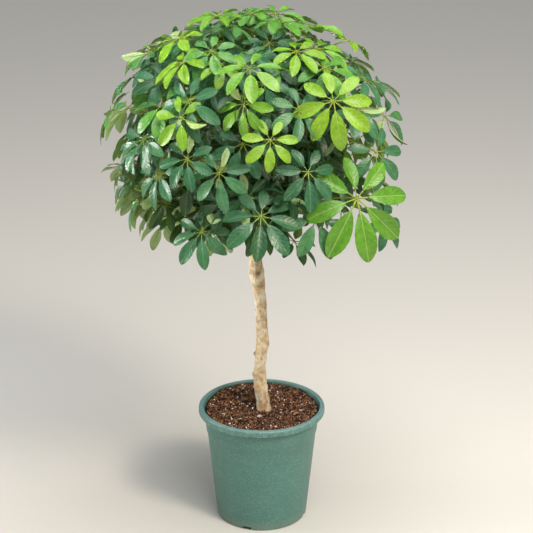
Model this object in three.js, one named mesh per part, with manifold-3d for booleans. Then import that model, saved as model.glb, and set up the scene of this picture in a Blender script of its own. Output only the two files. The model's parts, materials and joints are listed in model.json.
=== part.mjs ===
// Potted umbrella plant: a round-headed standard on a bare stem in a round nursery pot.
// Millimetres, +Z up. The origin is the middle of the pot's flat base, and -Y is the plant's front.
// Each leafy stem and each young shoot is one piece that stands 0.3 mm off the wood it grows from.

import * as THREE from "three";
import { mergeVertices } from "three/addons/utils/BufferGeometryUtils.js";
import Module from "manifold-3d";

const wasm = await Module();
wasm.setup();

// ---------------------------------------------------------------- driving dimensions

const CLEAR = 0.3; // gap between pieces that touch
const ROUND = 32; // sides of the pot and of the soil in it
const GOLDEN = Math.PI * (3 - Math.sqrt(5)); // turn from one leaf to the next up a stem

const POT = {
  height: 234.5,
  rimRadius: 125,
  rimHeight: 12,
  rimRound: 3,
  rimInner: 115.5,
  neckRadius: 114, // outside of the wall, right under the rim
  stepDrop: 51, // the stacking step, this far under the top
  stepDepth: 1.5,
  baseRadius: 90,
  baseRound: 3,
  wall: 2.5,
  floor: 4,
  notches: 4,
  notchWidth: 18,
  notchHeight: 7,
  notchDepth: 9,
  notchTurn: -109, // degrees from +X to the first drain notch
};

const SOIL = {
  top: 225,
  lump: 2.6, // half the height of the lumps
  rings: [34, 58, 82, 106],
  holeDepth: 112, // how far down the stem stands in its hole
};

const TRUNK = {
  sides: 10,
  spacing: 22,
  // [height, centre x, centre y, radius]: a slight double bend, with swellings at old leaf scars
  line: [
    [222, 4, 0, 13.4],
    [240, 3, 0, 13.2],
    [262, -0.3, 1, 13.6],
    [285, -3, 2, 12.4],
    [299, -4, 1, 12.8],
    [320, -2.5, -1, 11.4],
    [345, -0.6, -2, 11.6],
    [364, 1.4, -2, 13],
    [376, 2, -1, 11.8],
    [402, 0.6, 0, 11.4],
    [446, -1.2, 2, 10.9],
    [478, -3.8, 2, 11.3],
    [511, -9, 0, 14.4],
    [540, -11, -1, 12.4],
    [640, -14, 0, 9.6],
    [760, -18, 2, 7],
    [900, -22, 0, 4.6],
  ],
  bump: 0.7, // how far the bark's lumps stand out
};

// The crown: the hubs of the outer leaves lie on a dome that is fuller below its widest line.
const CROWN = {
  x: -20,
  y: 0,
  z: 798,
  reachX: 262,
  reachY: 246,
  rise: 216,
  fall: 156,
  above: 2.15, // 2 is a round dome, and more is a squarer one
  below: 3,
  lowest: -0.88, // the lowest hubs, as a share of the fall
  turn: 3.1,
  leaves: 128, // leaf places all round, before those that the chosen leaves take
  spare: 0.95, // a chosen leaf keeps this share of its reach free round its hub
  layer: 62, // depth of the layer that the hubs fill
  layerStep: 0.275, // share of that depth from one leaf to the next
};

const LEAF = {
  reach: 71, // hub to tip of the longest leaflet
  reachSpread: 12,
  leaflets: 7,
  halfWidth: 0.2, // of a leaflet, as a share of its length
  widest: 0.6,
  notch: 0.15,
  lift: 0.1, // the blade leaves the hub rising this steeply
  droop: 0.36, // and falls away by this share of its length
  keel: 0.1, // the sides stand over the rib by this share of their width
  outward: 0.6, // how far the leaf faces out of the crown,
  upward: 0.46, // and how far it faces the sky
  lowestLook: -0.15, // even the lowest leaves hardly face down
  hang: 0.35, // how much the longest leaflet points outward rather than down
  wander: 0.12, // unevenness of the leaflets' angles, as a share of one step
  gather: 0.15, // how much closer the hanging leaflets stand
  longer: 0.16, // they are longer, and the upper ones shorter, by this share
  uneven: 0.1,
  ribMiddle: 0.55, // where along a leaflet its rib is thickest
  rib: 0.9, // half thickness there
  hub: 1.5, // half thickness at the hub
  collar: 2.2, // radius of the stalk under the hub
  stalk: 1.5, // and from its neck to its foot
  neck: 6, // how far under the hub the neck is
  tries: 14, // tilts and depths that a leaf may choose from
  sway: 0.24, // its first tilt is up to half this, and the others up to half of swing
  swing: 0.5,
  shift: 44, // range of its depths
  shiftOut: 0.4, // the share of that range that is outward
  footStep: 0.21, // share of the stem's leafy stretch from one try to the next
  near: 45, // leaves further apart than this don't count as crossing
  tangle: 30, // what a stalk that runs into another one counts, against one crossed point
  ownBlade: 6, // and a point of the stalk that meets its own blade
  stalkRoom: 3.6, // middle lines of two stalks are at least this far apart
};

const STEM = {
  stems: 24,
  sides: 4,
  root: 3.3,
  tip: 2,
  inset: 58, // the stem ends this far inside its leaves
  below: 70, // and comes from this far below their middle
  share: 0.86, // the stems spread out towards points on a dome of this size
  turn: 3.5,
  young: 4, // behind, each stem of this many is a young one
  youngBehind: 40,
  leafy: 0.4, // the share of the stem that its leaves stand on
  slope: 0.42,
  lowest: 566,
  highest: 892,
  apart: 7.5, // stems keep this much room between their middle lines
  steps: 9, // places to try for a root, and the height from one to the next
  step: 9,
  room: 5, // a stalk keeps this far from another stem's middle line
};

// Leaves with a place of their own: [shoot, x, y, z, reach, leaflets, turn, tilt x, tilt y].
// shoot is 0 for a mature leaf, or the number of the young shoot that it grows on.
const CHOSEN = [
  [1, -135, -118, 951, 66, 8, 0.2, -0.15, 0.1],
  [0, -86, -122, 971, 62, 7, 0.5, 0, -0.3],
  [0, -123, -185, 897, 72, 7, 0.35, -0.3, -0.7],
  [2, -138, -198, 871, 62, 6, 0.4, -0.2, -0.5],
  [0, -238, -92, 862, 74, 7, 0.1, -0.1, 0.6],
  [0, -205, -158, 823, 72, 8, 0.6, -0.1, -0.2],
  [3, -29, -211, 898, 62, 8, -0.08, -0.4, -1],
  [0, -206, 19, 938, 62, 7, 0.2, 0, 0],
  [4, 125, -185, 897, 86, 8, -0.02, -0.5, -0.9],
  [0, 66, -186, 882, 70, 7, 0.5, 0.2, -0.4],
  [0, 112, -122, 941, 68, 7, 0.2, 0, -0.4],
  [5, 62, -112, 968, 62, 7, 0.5, 0, -0.3],
  [6, 160, 32, 958, 60, 7, 0.1, 0, 0],
  [0, 228, -12, 826, 68, 7, 0.4, 0, -0.4],
  [7, 16, -238, 842, 60, 7, -0.1, 0.4, -0.5],
  [8, 169, -180, 720, 122, 8, 0, -0.1, -0.6],
  [0, 81, -222, 781, 74, 7, 0.8, 0, -0.2],
  [0, 0, -232, 704, 86, 8, -0.17, 0.05, -0.1],
  [0, -105, -197, 664, 70, 8, 0.28, 0.2, 0],
  [0, 98, -188, 688, 82, 7, 0.3, 0, -0.2],
  [0, -127, -218, 803, 64, 7, 0.45, 0, 0],
  [0, -178, -186, 769, 70, 7, 0.1, 0, 0],
  [0, -213, -100, 702, 76, 7, 0.65, -0.2, 0.55],
  [0, -72, -232, 782, 68, 7, 0.2, 0, 0],
  [0, 205, -112, 786, 72, 7, 0.55, -0.1, -0.4],
  [0, 222, -96, 655, 68, 7, 0.3, 0.1, -0.3],
  [0, -31, -202, 826, 70, 7, 0.5, 0, -0.4],
  [0, -74, -125, 641, 60, 7, 0.3, 0.1, 0.9],
  [0, 60, -120, 619, 62, 7, 0.3, 0, 0.2],
  [0, -182, -70, 640, 62, 7, 0.2, -0.1, 0.8],
  [1, -68, -138, 951, 54, 7, 0.1, 0.1, -0.1],
];

// ---------------------------------------------------------------- small tools

const point = (x, y, z) => new THREE.Vector3(x, y, z);
const UP = point(0, 0, 1);

// A fixed number between 0 and 1 for the item i and the question k.
function draw(i, k) {
  const v = Math.sin(i * 12.9898 + k * 78.233) * 43758.5453;
  return v - Math.floor(v);
}

// A closed mesh as a solid that can be joined and cut.
function solidOf(geometry) {
  const bare = new THREE.BufferGeometry();
  bare.setAttribute("position", geometry.getAttribute("position"));
  bare.setIndex(geometry.getIndex());
  const merged = mergeVertices(bare, 1e-4);
  return new wasm.Manifold(
    new wasm.Mesh({
      numProp: 3,
      vertProperties: Float32Array.from(merged.getAttribute("position").array),
      triVerts: Uint32Array.from(merged.getIndex().array),
    }),
  );
}

function geometryOf(solid) {
  const mesh = solid.getMesh();
  const geometry = new THREE.BufferGeometry();
  geometry.setAttribute("position", new THREE.BufferAttribute(mesh.vertProperties, 3));
  geometry.setIndex(new THREE.BufferAttribute(mesh.triVerts, 1));
  return geometry;
}

function indexed(points, faces) {
  const geometry = new THREE.BufferGeometry().setFromPoints(points);
  geometry.setIndex(faces);
  return geometry;
}

const largest = (solid) =>
  solid.decompose().reduce((best, s) => (s.volume() > best.volume() ? s : best));

// A closed skin over rings of equal count, with a flat fan at each end.
function loft(rings) {
  const sides = rings[0].length;
  const points = rings.flat();
  const faces = [];
  for (let k = 0; k + 1 < rings.length; k++) {
    for (let i = 0; i < sides; i++) {
      const a = k * sides + i;
      const b = k * sides + ((i + 1) % sides);
      faces.push(a, b, b + sides, a, b + sides, a + sides);
    }
  }
  const top = (rings.length - 1) * sides;
  for (let i = 1; i + 1 < sides; i++) {
    faces.push(0, i + 1, i, top, top + i, top + i + 1);
  }
  return indexed(points, faces);
}

// A straight tapered rod from a to b.
function rod(a, b, radiusA, radiusB, sides) {
  const along = b.clone().sub(a).normalize();
  const side = along.clone().cross(Math.abs(along.z) < 0.9 ? UP : point(1, 0, 0)).normalize();
  const other = along.clone().cross(side);
  const ring = (centre, radius) =>
    Array.from({ length: sides }, (_, i) => {
      const angle = (2 * Math.PI * i) / sides;
      return centre
        .clone()
        .addScaledVector(side, radius * Math.cos(angle))
        .addScaledVector(other, radius * Math.sin(angle));
    });
  return loft([ring(a, radiusA), ring(b, radiusB)]);
}

// ---------------------------------------------------------------- pot

// The outside radius of the pot's wall at a height.
function potRadius(z) {
  const stepZ = POT.height - POT.stepDrop;
  const lean = (POT.neckRadius - POT.baseRadius) / (POT.height - POT.rimHeight);
  const straight = POT.baseRadius + lean * z;
  return z < stepZ ? straight - POT.stepDepth * Math.min(1, z / stepZ) : straight;
}

function makePot() {
  const at = (x, y) => new THREE.Vector2(x, y);
  const stepZ = POT.height - POT.stepDrop;
  const under = POT.height - POT.rimHeight;
  const inner = (z) => at(potRadius(z) - POT.wall, z);
  const profile = [
    at(0, 0),
    at(POT.baseRadius - POT.baseRound, 0),
    at(POT.baseRadius, POT.baseRound),
    at(potRadius(stepZ - 1), stepZ - 1),
    at(potRadius(stepZ + 1), stepZ + 1),
    at(POT.neckRadius, under),
    at(POT.rimRadius - 1, under),
    at(POT.rimRadius, POT.height - POT.rimRound),
    at(POT.rimRadius - POT.rimRound, POT.height),
    at(POT.rimInner, POT.height),
    at(POT.neckRadius - POT.wall, under - 2),
    inner(stepZ + 1),
    inner(stepZ - 1),
    inner(POT.floor),
    at(0, POT.floor),
  ];
  let solid = solidOf(new THREE.LatheGeometry(profile, ROUND).rotateX(Math.PI / 2));
  for (let k = 0; k < POT.notches; k++) {
    const box = new THREE.BoxGeometry(POT.notchDepth * 2, POT.notchWidth, POT.notchHeight * 2);
    box.translate(POT.baseRadius, 0, 0);
    box.rotateZ(THREE.MathUtils.degToRad(POT.notchTurn + (360 / POT.notches) * k));
    solid = solid.subtract(solidOf(box));
  }
  return geometryOf(solid);
}

// ---------------------------------------------------------------- soil

function makeSoil() {
  const at = (x, y) => new THREE.Vector2(x, y);
  const stepZ = POT.height - POT.stepDrop;
  const gap = POT.wall + CLEAR / Math.cos(Math.PI / ROUND);
  const hole = TRUNK.line[0][3] + CLEAR * 2;
  const profile = [
    at(0, POT.floor + CLEAR),
    at(potRadius(POT.floor) - gap, POT.floor + CLEAR),
    at(potRadius(stepZ - 1) - gap, stepZ - 1),
    at(potRadius(stepZ + 1) - gap, stepZ + 1),
    at(potRadius(SOIL.top) - gap, SOIL.top),
    ...SOIL.rings.toReversed().map((r) => at(r, SOIL.top)),
    at(hole, SOIL.top),
    at(hole, SOIL.top - SOIL.holeDepth),
    at(0, SOIL.top - SOIL.holeDepth),
  ];
  const geometry = new THREE.LatheGeometry(profile, ROUND);
  const position = geometry.getAttribute("position");
  for (let i = 0; i < position.count; i++) {
    const [x, y, z] = [position.getX(i), position.getY(i), position.getZ(i)];
    const radius = Math.hypot(x, z);
    if (radius < hole + 1) position.setX(i, x + TRUNK.line[0][1]);
    const inside = radius > SOIL.rings[0] - 1 && radius < SOIL.rings.at(-1) + 1;
    if (y < SOIL.top - 1 || !inside) continue;
    position.setY(i, y + SOIL.lump * (2 * draw(Math.round(x) * 31 + Math.round(z), 1) - 1));
  }
  return geometry.rotateX(Math.PI / 2);
}

// ---------------------------------------------------------------- stem of the standard

// Centre and radius of the bare stem at a height.
function trunkAt(z) {
  const line = TRUNK.line;
  const last = line.length - 1;
  const k = Math.max(0, Math.min(last - 1, line.findIndex((p) => p[0] > z) - 1));
  const upper = z >= line[last][0] ? last - 1 : k;
  const share = Math.max(0, Math.min(1, (z - line[upper][0]) / (line[upper + 1][0] - line[upper][0])));
  const ease = share * share * (3 - 2 * share);
  const mix = (n) => line[upper][n] + (line[upper + 1][n] - line[upper][n]) * ease;
  return { centre: point(mix(1), mix(2), z), radius: mix(3) };
}

function makeTrunk(grow) {
  const foot = SOIL.top - SOIL.holeDepth + CLEAR;
  const top = TRUNK.line.at(-1)[0];
  const bark = Math.round((top - SOIL.top) / TRUNK.spacing);
  const heights = [foot - grow, SOIL.top - 4];
  for (let k = 1; k <= bark; k++) heights.push(SOIL.top + ((top - SOIL.top) * k) / bark);
  const rings = heights.map((z, k) => {
    const { centre, radius } = trunkAt(z);
    return Array.from({ length: TRUNK.sides }, (_, i) => {
      const angle = (2 * Math.PI * i) / TRUNK.sides;
      const bump = k < 2 ? 0 : TRUNK.bump * (2 * draw(i, k) - 1);
      const r = radius + bump + grow;
      return point(centre.x + r * Math.cos(angle), centre.y + r * Math.sin(angle), z);
    });
  });
  return loft(rings);
}

// ---------------------------------------------------------------- crown: where each leaf goes

// Point of the crown's dome, scaled about its middle.
function domePoint(turn, height, share) {
  const power = height > 0 ? CROWN.above : CROWN.below;
  const across = (1 - Math.abs(height) ** power) ** (1 / power);
  const rise = height * (height > 0 ? CROWN.rise : CROWN.fall);
  return point(
    CROWN.x + CROWN.reachX * across * Math.cos(turn) * share,
    CROWN.y + CROWN.reachY * across * Math.sin(turn) * share,
    CROWN.z + rise * share,
  );
}

// Outward direction of the dome at a point of it.
function domeNormal(p) {
  const tall = p.z > CROWN.z ? CROWN.rise : CROWN.fall;
  return point(
    (p.x - CROWN.x) / CROWN.reachX ** 2,
    (p.y - CROWN.y) / CROWN.reachY ** 2,
    (p.z - CROWN.z) / tall ** 2,
  ).normalize();
}

// The k-th of count heights that share the dome out evenly, as a share of its rise or fall.
const spread = (k, count) => 0.99 - ((k + 0.5) / count) * (0.99 - CROWN.lowest);

function leafPlaces() {
  const places = CHOSEN.map(([shoot, x, y, z, reach, leaflets, turn, ...lean], i) => ({
    shoot, seed: 500 + i, hub: point(x, y, z), reach, leaflets, turn, lean, chosen: true,
  }));
  for (let i = 0; i < CROWN.leaves; i++) {
    const turn = i * GOLDEN + CROWN.turn;
    const outer = domePoint(turn, spread(i, CROWN.leaves), 1);
    const meets = (p) => p.chosen && p.hub.distanceTo(outer) < CROWN.spare * p.reach;
    if (places.some(meets)) continue;
    const layer = (i * CROWN.layerStep) % 1;
    const depth = (layer * CROWN.layer) / CROWN.reachX;
    places.push({
      shoot: 0,
      seed: i,
      hub: domePoint(turn, spread(i, CROWN.leaves), 1 - depth),
      reach: LEAF.reach + LEAF.reachSpread * (draw(i, 2) - 0.5),
      leaflets: LEAF.leaflets,
      turn: draw(i, 3) * Math.PI,
      lean: [0, 0],
      chosen: false,
    });
  }
  return places;
}

// The leaf's own directions: its axis, which the stalk ends along, and the way it hangs.
function face(leaf, tilt) {
  const out = domeNormal(leaf.hub);
  const axis = out
    .setZ(Math.max(out.z, LEAF.lowestLook))
    .multiplyScalar(LEAF.outward)
    .addScaledVector(UP, LEAF.upward)
    .add(point(leaf.lean[0] + tilt[0], leaf.lean[1] + tilt[1], 0))
    .normalize();
  const hang = domeNormal(leaf.hub).multiplyScalar(LEAF.hang).sub(UP);
  const down = hang.addScaledVector(axis, -hang.dot(axis)).normalize();
  return { ...leaf, axis, down, side: axis.clone().cross(down) };
}

// How far the blade stands along the axis at a distance from the hub.
const arch = (leaf, r) => {
  const t = r / leaf.reach;
  return leaf.reach * (LEAF.lift * t - LEAF.droop * t * t);
};

// The leaflets: direction in the blade's plane, way across and length.
function leafletsOf(leaf) {
  return Array.from({ length: leaf.leaflets }, (_, i) => {
    const wander = LEAF.wander * (draw(leaf.seed, 20 + i) - 0.5);
    const even = leaf.turn + (2 * Math.PI * (i + wander)) / leaf.leaflets;
    const angle = even - LEAF.gather * Math.sin(even);
    const along = leaf.down
      .clone()
      .multiplyScalar(Math.cos(angle))
      .addScaledVector(leaf.side, Math.sin(angle));
    const across = leaf.axis.clone().cross(along);
    const hanging = 1 - LEAF.longer * (1 - Math.cos(angle));
    const length = leaf.reach * hanging * (1 - LEAF.uneven * draw(leaf.seed, 40 + i));
    return { along, across, length };
  });
}

const onBlade = (leaf, leaflet, t, w) =>
  leaf.hub
    .clone()
    .addScaledVector(leaflet.along, t * leaflet.length)
    .addScaledVector(leaflet.across, w)
    .addScaledVector(leaf.axis, arch(leaf, t * leaflet.length) + LEAF.keel * Math.abs(w));

const RIB_SHARES = [0.35, 0.6, 0.8, 1];
const STALK_SHARES = [0.2, 0.35, 0.5, 0.65, 0.8, 1];
const ribPoints = (leaf) => [
  leaf.hub,
  ...leafletsOf(leaf).flatMap((l) => RIB_SHARES.map((t) => onBlade(leaf, l, t, 0))),
];

// How badly the points of one leaf stand on both sides of another leaf's blade.
function straddle(points, leaf) {
  let above = 0;
  let below = 0;
  for (const p of points) {
    const d = p.clone().sub(leaf.hub);
    const rise = d.dot(leaf.axis);
    const r = Math.sqrt(Math.max(0, d.lengthSq() - rise * rise));
    if (r > leaf.reach) continue;
    const over = rise - arch(leaf, r);
    if (Math.abs(over) > LEAF.near) continue;
    if (over > -1) above++;
    if (over < 1) below++;
  }
  return Math.min(above, below);
}

// Shortest distance between two straight lines a-b and c-d.
function lineGap(a, b, c, d) {
  const u = b.clone().sub(a);
  const v = d.clone().sub(c);
  const w = a.clone().sub(c);
  const [uu, uv, vv, uw, vw] = [u.dot(u), u.dot(v), v.dot(v), u.dot(w), v.dot(w)];
  const cross = Math.max(uu * vv - uv * uv, 1e-9);
  let s = THREE.MathUtils.clamp((uv * vw - vv * uw) / cross, 0, 1);
  const t = THREE.MathUtils.clamp((uv * s + vw) / vv, 0, 1);
  s = THREE.MathUtils.clamp((uv * t - uw) / uu, 0, 1);
  return a.clone().addScaledVector(u, s).distanceTo(c.clone().addScaledVector(v, t));
}

// Leafy stems: which leaves each one bears, and its straight line from the wood to its tip.
function plantStems(places) {
  const stems = Array.from({ length: STEM.stems }, (_, k) => ({
    centre: domePoint(k * GOLDEN + STEM.turn, spread(k, STEM.stems), STEM.share),
    young: false,
    leaves: [],
  }));
  stems.forEach((stem, k) => {
    const behind = k % STEM.young === 1 && stem.centre.y > STEM.youngBehind;
    stem.young = k === 0 || behind;
  });
  const shoots = Array.from({ length: Math.max(...places.map((p) => p.shoot)) }, () => ({
    young: true,
    leaves: [],
  }));
  for (const leaf of places) {
    if (leaf.shoot) {
      shoots[leaf.shoot - 1].leaves.push(leaf);
      continue;
    }
    const open = stems.filter((s) => !(s.young && leaf.chosen));
    open.reduce((best, s) =>
      s.centre.distanceTo(leaf.hub) < best.centre.distanceTo(leaf.hub) ? s : best,
    ).leaves.push(leaf);
  }
  const numbered = (list, kind) =>
    list
      .filter((s) => s.leaves.length)
      .map((s, k) => Object.assign(s, { name: `${kind}_${String(k + 1).padStart(2, "0")}` }));
  const rooted = [];
  for (const stem of [...numbered(stems, "leafy_stem"), ...numbered(shoots, "young_shoot")]) {
    const middle = point(0, 0, 0);
    for (const leaf of stem.leaves) middle.addScaledVector(leaf.hub, 1 / stem.leaves.length);
    const inward = point(CROWN.x, CROWN.y, middle.z - STEM.below).sub(middle).normalize();
    stem.tip = middle.addScaledVector(inward, STEM.inset);
    const out = Math.hypot(stem.tip.x - CROWN.x, stem.tip.y - CROWN.y);
    const level = THREE.MathUtils.clamp(stem.tip.z - STEM.slope * out, STEM.lowest, STEM.highest);
    let widest = -1;
    for (let c = 0; c < STEM.steps && widest < STEM.apart; c++) {
      const step = Math.ceil(c / 2) * STEM.step * (c % 2 ? 1 : -1);
      const root = trunkAt(Math.min(STEM.highest, level + step)).centre;
      const start = clearOfWood(root, stem.tip);
      const gap = Math.min(STEM.apart, ...rooted.map((s) => lineGap(start, stem.tip, s.start, s.tip)));
      if (gap > widest) Object.assign(stem, { root, start });
      widest = Math.max(widest, gap);
    }
    rooted.push(stem);
  }
  return rooted;
}

// Where a stem from a root on the wood's middle line comes out of the wood.
function clearOfWood(root, tip) {
  const along = tip.clone().sub(root).normalize();
  return root.clone().addScaledVector(along, trunkAt(root.z).radius + 1);
}

// How many points of a leaf's stalk meet or pass its own blade.
function meetsOwnBlade(leaf) {
  return STALK_SHARES.filter((t) => {
    const d = leaf.foot.clone().sub(leaf.hub).multiplyScalar(t);
    const rise = d.dot(leaf.axis);
    const r = Math.sqrt(Math.max(0, d.lengthSq() - rise * rise));
    return r < leaf.reach && rise > arch(leaf, r) - 2 * LEAF.collar;
  }).length;
}

// Settles each leaf's tilt, depth and stalk so that it crosses its neighbours least.
function settleLeaves(stems) {
  const settled = [];
  const order = stems.flatMap((stem) => stem.leaves.map((leaf, j) => ({ stem, leaf, j })));
  order.sort((p, q) => Number(q.leaf.chosen) - Number(p.leaf.chosen));
  for (const { stem, leaf, j } of order) {
    let best = null;
    for (let c = 0; c < LEAF.tries; c++) {
      const place = (j / stem.leaves.length + c * LEAF.footStep) % 1;
      const foot = stem.start.clone().lerp(stem.tip, 1 - STEM.leafy * place);
      const tilt = [60, 80].map((k) => (c ? LEAF.swing : LEAF.sway) * (draw(leaf.seed, k + c) - 0.5));
      const free = c > 0 && !leaf.chosen;
      const shift = free ? LEAF.shift * (draw(leaf.seed, 100 + c) - 1 + LEAF.shiftOut) : 0;
      const moved = { ...leaf, hub: leaf.hub.clone().addScaledVector(domeNormal(leaf.hub), shift) };
      const tried = { ...face(moved, tilt), stem, foot };
      tried.points = ribPoints(tried);
      tried.cost = LEAF.ownBlade * meetsOwnBlade(tried);
      for (const other of settled) {
        if (other.hub.distanceTo(tried.hub) < other.reach + tried.reach) {
          tried.cost += straddle(tried.points, other) + straddle(other.points, tried);
        }
        const gap = other.stem === stem ? Infinity : lineGap(foot, tried.hub, other.foot, other.hub);
        if (gap < LEAF.stalkRoom) tried.cost += LEAF.tangle;
      }
      for (const other of stems) {
        const gap = other === stem ? Infinity : lineGap(foot, tried.hub, other.start, other.tip);
        if (gap < STEM.room) tried.cost += LEAF.tangle;
      }
      if (!best || tried.cost < best.cost) best = tried;
      if (best.cost === 0) break;
    }
    settled.push(best);
  }
  return settled;
}

// ---------------------------------------------------------------- crown: solids

// A compound leaf: leaflets cut to their ribs in one thin arched outline with a sharp edge, and
// its stalk. With grow it is the room that a neighbour keeps clear of: thicker, and no stalk.
function leafSolid(leaf, grow) {
  const points = [];
  const faces = [];
  const add = (p) => points.push(p) - 1;
  const lift = (p, by) => p.clone().addScaledVector(leaf.axis, by);
  const edge = (p) => (grow ? [add(lift(p, grow)), add(lift(p, -grow))] : [add(p)]);
  const leaflets = leafletsOf(leaf);
  const count = leaflets.length;
  const crown = add(lift(leaf.hub, LEAF.hub + grow));
  const collar = leaflets.map((l, i) => {
    const under = lift(leaf.hub, -LEAF.hub - grow);
    return grow && i ? crown + 1 : add(grow ? under : under.addScaledVector(l.along, LEAF.collar));
  });
  const notches = leaflets.map((l, i) => {
    const between = l.along.clone().add(leaflets[(i + 1) % count].along).normalize();
    const r = LEAF.notch * leaf.reach + grow;
    return edge(lift(leaf.hub.clone().addScaledVector(between, r), arch(leaf, r)));
  });
  leaflets.forEach((l, i) => {
    const wide = LEAF.halfWidth * l.length + grow;
    const outline = [
      notches[(i + count - 1) % count],
      edge(onBlade(leaf, l, LEAF.widest, -wide)),
      edge(onBlade(leaf, l, 1 + grow / l.length, 0)),
      edge(onBlade(leaf, l, LEAF.widest, wide)),
      notches[i],
    ];
    const middle = onBlade(leaf, l, LEAF.ribMiddle, 0);
    const rib = add(lift(middle, LEAF.rib + grow));
    const underRib = add(lift(middle, -LEAF.rib - grow));
    const loop = [...outline, [crown, collar[i]]];
    loop.forEach((a, k) => {
      const b = loop[(k + 1) % loop.length];
      faces.push(rib, a[0], b[0], underRib, b.at(-1), a.at(-1));
      if (grow && k + 1 < outline.length) faces.push(a[0], a[1], b[1], a[0], b[1], b[0]);
    });
    if (!grow) faces.push(notches[i][0], collar[i], collar[(i + 1) % count]);
  });
  if (!grow) addStalk(leaf, points, faces, collar);
  return solidOf(indexed(points, faces));
}

// The stalk: from the collar of points under the hub to a three-sided rod sunk in the stem.
function addStalk(leaf, points, faces, collar) {
  const corners = 3;
  const count = collar.length;
  const first = points.length;
  const fall = leaf.foot.clone().sub(leaf.hub);
  const neck = leaf.hub.clone().addScaledVector(fall, LEAF.neck / fall.length());
  for (const centre of [neck, leaf.foot]) {
    for (let k = 0; k < corners; k++) {
      const angle = leaf.turn + (2 * Math.PI * k) / corners;
      const corner = centre.clone().addScaledVector(leaf.down, LEAF.stalk * Math.cos(angle));
      points.push(corner.addScaledVector(leaf.side, LEAF.stalk * Math.sin(angle)));
    }
  }
  const near = (i) => first + (Math.round((i * corners) / count) % corners);
  for (let i = 0; i < count; i++) {
    const next = (i + 1) % count;
    faces.push(collar[i], near(i), collar[next]);
    if (near(i) !== near(next)) faces.push(near(i), near(next), collar[next]);
  }
  for (let k = 0; k < corners; k++) {
    const [a, b] = [first + k, first + ((k + 1) % corners)];
    faces.push(a, a + corners, b, a + corners, b + corners, b);
  }
  const foot = first + corners;
  faces.push(foot, foot + 2, foot + 1);
}

const stalkRoom = (leaf) =>
  solidOf(rod(leaf.foot, leaf.hub, LEAF.stalk + 2 * CLEAR, LEAF.collar + 2 * CLEAR, STEM.sides));

const stemSolid = (stem, grow) =>
  solidOf(rod(stem.root, stem.tip, STEM.root + 1.3 * grow, STEM.tip + 1.3 * grow, STEM.sides));

function makeCrown() {
  const { union } = wasm.Manifold;
  const stems = plantStems(leafPlaces());
  const leaves = settleLeaves(stems);
  const wood = solidOf(makeTrunk(CLEAR));
  const sprays = stems.map((stem) => {
    const own = leaves.filter((leaf) => leaf.stem === stem);
    return { stem, own, room: union([stemSolid(stem, CLEAR), ...own.map(stalkRoom)]) };
  });
  const rooms = union(sprays.map((spray) => spray.room));
  const taken = [wood];
  return sprays.map(({ stem, own, room }) => {
    const others = sprays.filter((spray) => spray.room !== room).map((spray) => spray.room);
    const whole = union([stemSolid(stem, 0), ...own.map((leaf) => leafSolid(leaf, 0))]);
    const free = whole.subtract(union([...others, ...taken]));
    taken.push(...own.map((leaf) => leafSolid(leaf, CLEAR).subtract(rooms)));
    return { name: stem.name, young: stem.young, geometry: geometryOf(largest(free).simplify(0.02)) };
  });
}

// ---------------------------------------------------------------- the plant

const FINISH = {
  pot: { color: 0x4b7a6c, roughness: 0.5, metalness: 0 },
  soil: { color: 0x4a2f20, roughness: 0.95, metalness: 0 },
  bark: { color: 0xc8a983, roughness: 0.85, metalness: 0 },
  mature: { color: 0x2f6a4c, roughness: 0.4, metalness: 0 },
  young: { color: 0x8cc63a, roughness: 0.45, metalness: 0 },
};

function addMesh(group, name, geometry, finish) {
  const mesh = new THREE.Mesh(geometry, new THREE.MeshStandardMaterial(finish));
  mesh.name = name;
  group.add(mesh);
}

const plant = new THREE.Group();
addMesh(plant, "pot", makePot(), FINISH.pot);
addMesh(plant, "soil", makeSoil(), FINISH.soil);
addMesh(plant, "trunk", makeTrunk(0), FINISH.bark);
for (const { name, young, geometry } of makeCrown()) {
  addMesh(plant, name, geometry, young ? FINISH.young : FINISH.mature);
}

export default plant;
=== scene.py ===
# %% [markdown]
# # A potted umbrella plant
# An umbrella plant grown as a standard: a round head of leaves on one bare stem, in a green nursery pot.
# Each leaf is compound, with six to eight leaflets that spread from one point like the ribs of an umbrella.
#
# The plant's solids are loaded first, as a frame that never moves. Every later step makes the fine piece
# that stands for one of them, so the two always lie in the same place.

# %% The frame
import json
import math
from types import SimpleNamespace

import bpy
import numpy as np
from mathutils import Matrix, Vector, noise

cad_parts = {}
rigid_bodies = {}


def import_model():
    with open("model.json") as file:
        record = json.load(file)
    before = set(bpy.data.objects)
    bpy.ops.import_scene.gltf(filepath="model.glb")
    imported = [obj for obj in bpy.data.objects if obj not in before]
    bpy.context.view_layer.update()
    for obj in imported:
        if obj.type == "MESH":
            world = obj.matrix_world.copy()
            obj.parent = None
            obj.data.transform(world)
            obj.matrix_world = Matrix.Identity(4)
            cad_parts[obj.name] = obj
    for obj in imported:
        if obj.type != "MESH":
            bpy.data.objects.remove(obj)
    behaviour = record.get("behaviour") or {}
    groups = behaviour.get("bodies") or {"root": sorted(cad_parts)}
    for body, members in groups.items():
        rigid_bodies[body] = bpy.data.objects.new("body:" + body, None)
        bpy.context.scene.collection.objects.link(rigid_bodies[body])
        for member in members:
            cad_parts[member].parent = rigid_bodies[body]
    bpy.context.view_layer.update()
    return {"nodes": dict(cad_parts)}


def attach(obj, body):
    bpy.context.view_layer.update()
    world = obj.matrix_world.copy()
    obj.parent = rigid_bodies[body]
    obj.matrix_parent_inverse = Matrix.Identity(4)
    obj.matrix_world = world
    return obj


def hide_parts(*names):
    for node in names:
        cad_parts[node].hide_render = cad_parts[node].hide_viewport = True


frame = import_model()
print("solids in the frame:", len(frame["nodes"]))

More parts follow.
